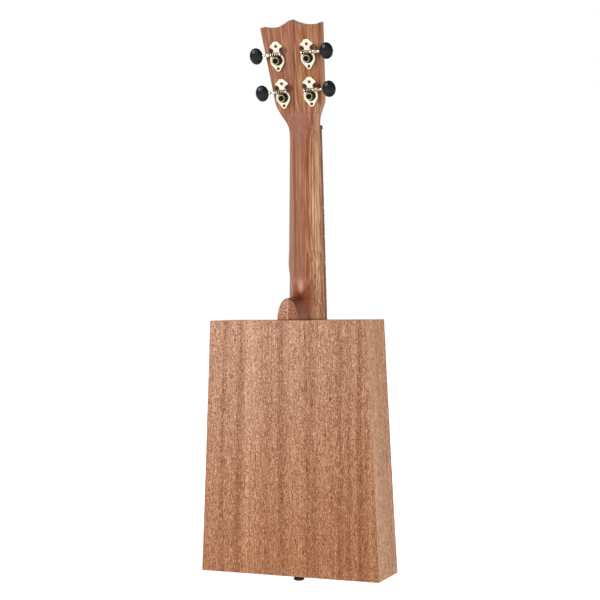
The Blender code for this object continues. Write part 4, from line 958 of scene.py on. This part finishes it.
# %% World
world = bpy.data.worlds.new("studio")
bpy.context.scene.world = world
world.use_nodes = True
sky = world.node_tree
sky.nodes.clear()
path = sky.nodes.new("ShaderNodeLightPath")
output = sky.nodes.new("ShaderNodeOutputWorld")
ambient = sky.nodes.new("ShaderNodeBackground")
ambient.inputs["Color"].default_value = (1, 1, 1, 1)
ambient.inputs["Strength"].default_value = 0.3
plain = sky.nodes.new("ShaderNodeBackground")
plain.inputs["Color"].default_value = (1, 1, 1, 1)
dimmed = sky.nodes.new("ShaderNodeMath")
dimmed.operation = "MULTIPLY_ADD"
sky.links.new(path.outputs["Is Glossy Ray"], dimmed.inputs[0])
dimmed.inputs[1].default_value = -0.45
dimmed.inputs[2].default_value = 1.0
sky.links.new(dimmed.outputs[0], plain.inputs["Strength"])
choose = sky.nodes.new("ShaderNodeMixShader")
seen = path.outputs["Is Camera Ray"]
for ray in ("Is Transmission Ray", "Is Glossy Ray"):
    either = sky.nodes.new("ShaderNodeMath")
    either.operation = "MAXIMUM"
    sky.links.new(seen, either.inputs[0])
    sky.links.new(path.outputs[ray], either.inputs[1])
    seen = either.outputs[0]
sky.links.new(seen, choose.inputs["Fac"])
sky.links.new(ambient.outputs[0], choose.inputs[1])
sky.links.new(plain.outputs[0], choose.inputs[2])
sky.links.new(choose.outputs[0], output.inputs["Surface"])

# %% [markdown]
# ## The floor
# The floor is matt paper. It glows a little to the camera, so that it is as white as the room where the
# lamps reach it, and more further out, where they don't. Close to the instrument its shadow stays.

# %% Floor
FLOOR_Z = -0.557
bpy.ops.mesh.primitive_plane_add(size=16, location=(0, 0, FLOOR_Z))
floor = bpy.context.object
floor.name = "floor"
paper = Finish("floor_paper", Roughness=0.9)
fibres = paper.noise(paper.stretched(60, 60, 60), detail=3)
paper.colour(paper.tones(fibres, (0.3, (0.80, 0.80, 0.80, 1)), (0.7, (0.84, 0.84, 0.84, 1))))
reach = paper.add("ShaderNodeVectorMath", operation="LENGTH")
paper.join(paper.place, reach.inputs[0])
glow = paper.step(reach.outputs["Value"], 0.35, 1.1, 0.45, 1.0)
floor_path = paper.add("ShaderNodeLightPath")
seen_floor = paper.math("MAXIMUM", floor_path.outputs["Is Camera Ray"], floor_path.outputs["Is Glossy Ray"])
paper.surface.inputs["Emission Color"].default_value = (1, 1, 1, 1)
paper.join(paper.math("MULTIPLY", seen_floor, glow), paper.surface.inputs["Emission Strength"])
floor.data.materials.append(paper.material)
floor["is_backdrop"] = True

# %% [markdown]
# ## Lamps
# There are three large soft lamps. The key lamp stands high on the camera's left and rather near, so the
# back panel is brightest at its top left corner and falls off towards the bottom right. The second lights
# the side wall and the neck's golden flank from the right, and the third the strings' side. Only the key
# lamp shows in metal.

# %% Lamps
def soft_lamp(name, place, target, width, height, power, mirrored=False):
    """A rectangular softbox that faces a point; metal shows it only if it is mirrored."""
    lamp = bpy.data.lights.new(name, "AREA")
    lamp.shape = "RECTANGLE"
    lamp.size = width
    lamp.size_y = height
    lamp.energy = power
    piece = bpy.data.objects.new(name, lamp)
    bpy.context.scene.collection.objects.link(piece)
    piece.location = place
    piece.rotation_euler = (Vector(target) - Vector(place)).to_track_quat("-Z", "Y").to_euler()
    piece.visible_glossy = mirrored


MIDDLE = (0, 0, -0.22)
soft_lamp("key_softbox", (0.6, 0.95, 0.45), MIDDLE, 0.7, 0.7, 12, mirrored=True)
soft_lamp("side_softbox", (-2.0, 0.35, 0.3), MIDDLE, 1.0, 1.4, 18)
soft_lamp("front_softbox", (0.3, -2.0, 0.7), MIDDLE, 1.6, 1.6, 22)
print("three softboxes")

# %% [markdown]
# ## Sizes, and the end
# The dressed model's box is compared with the solid one's, and how far it has grown past it is printed.
# The dressed model may not grow past the solid one.

# %% Write the sizes and finish
size_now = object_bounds()
grown = [max(cad_box[0][i] - size_now[0][i], size_now[1][i] - cad_box[1][i], 0) / MM for i in range(3)]
print("grown by", [round(value, 2) for value in grown], "mm")
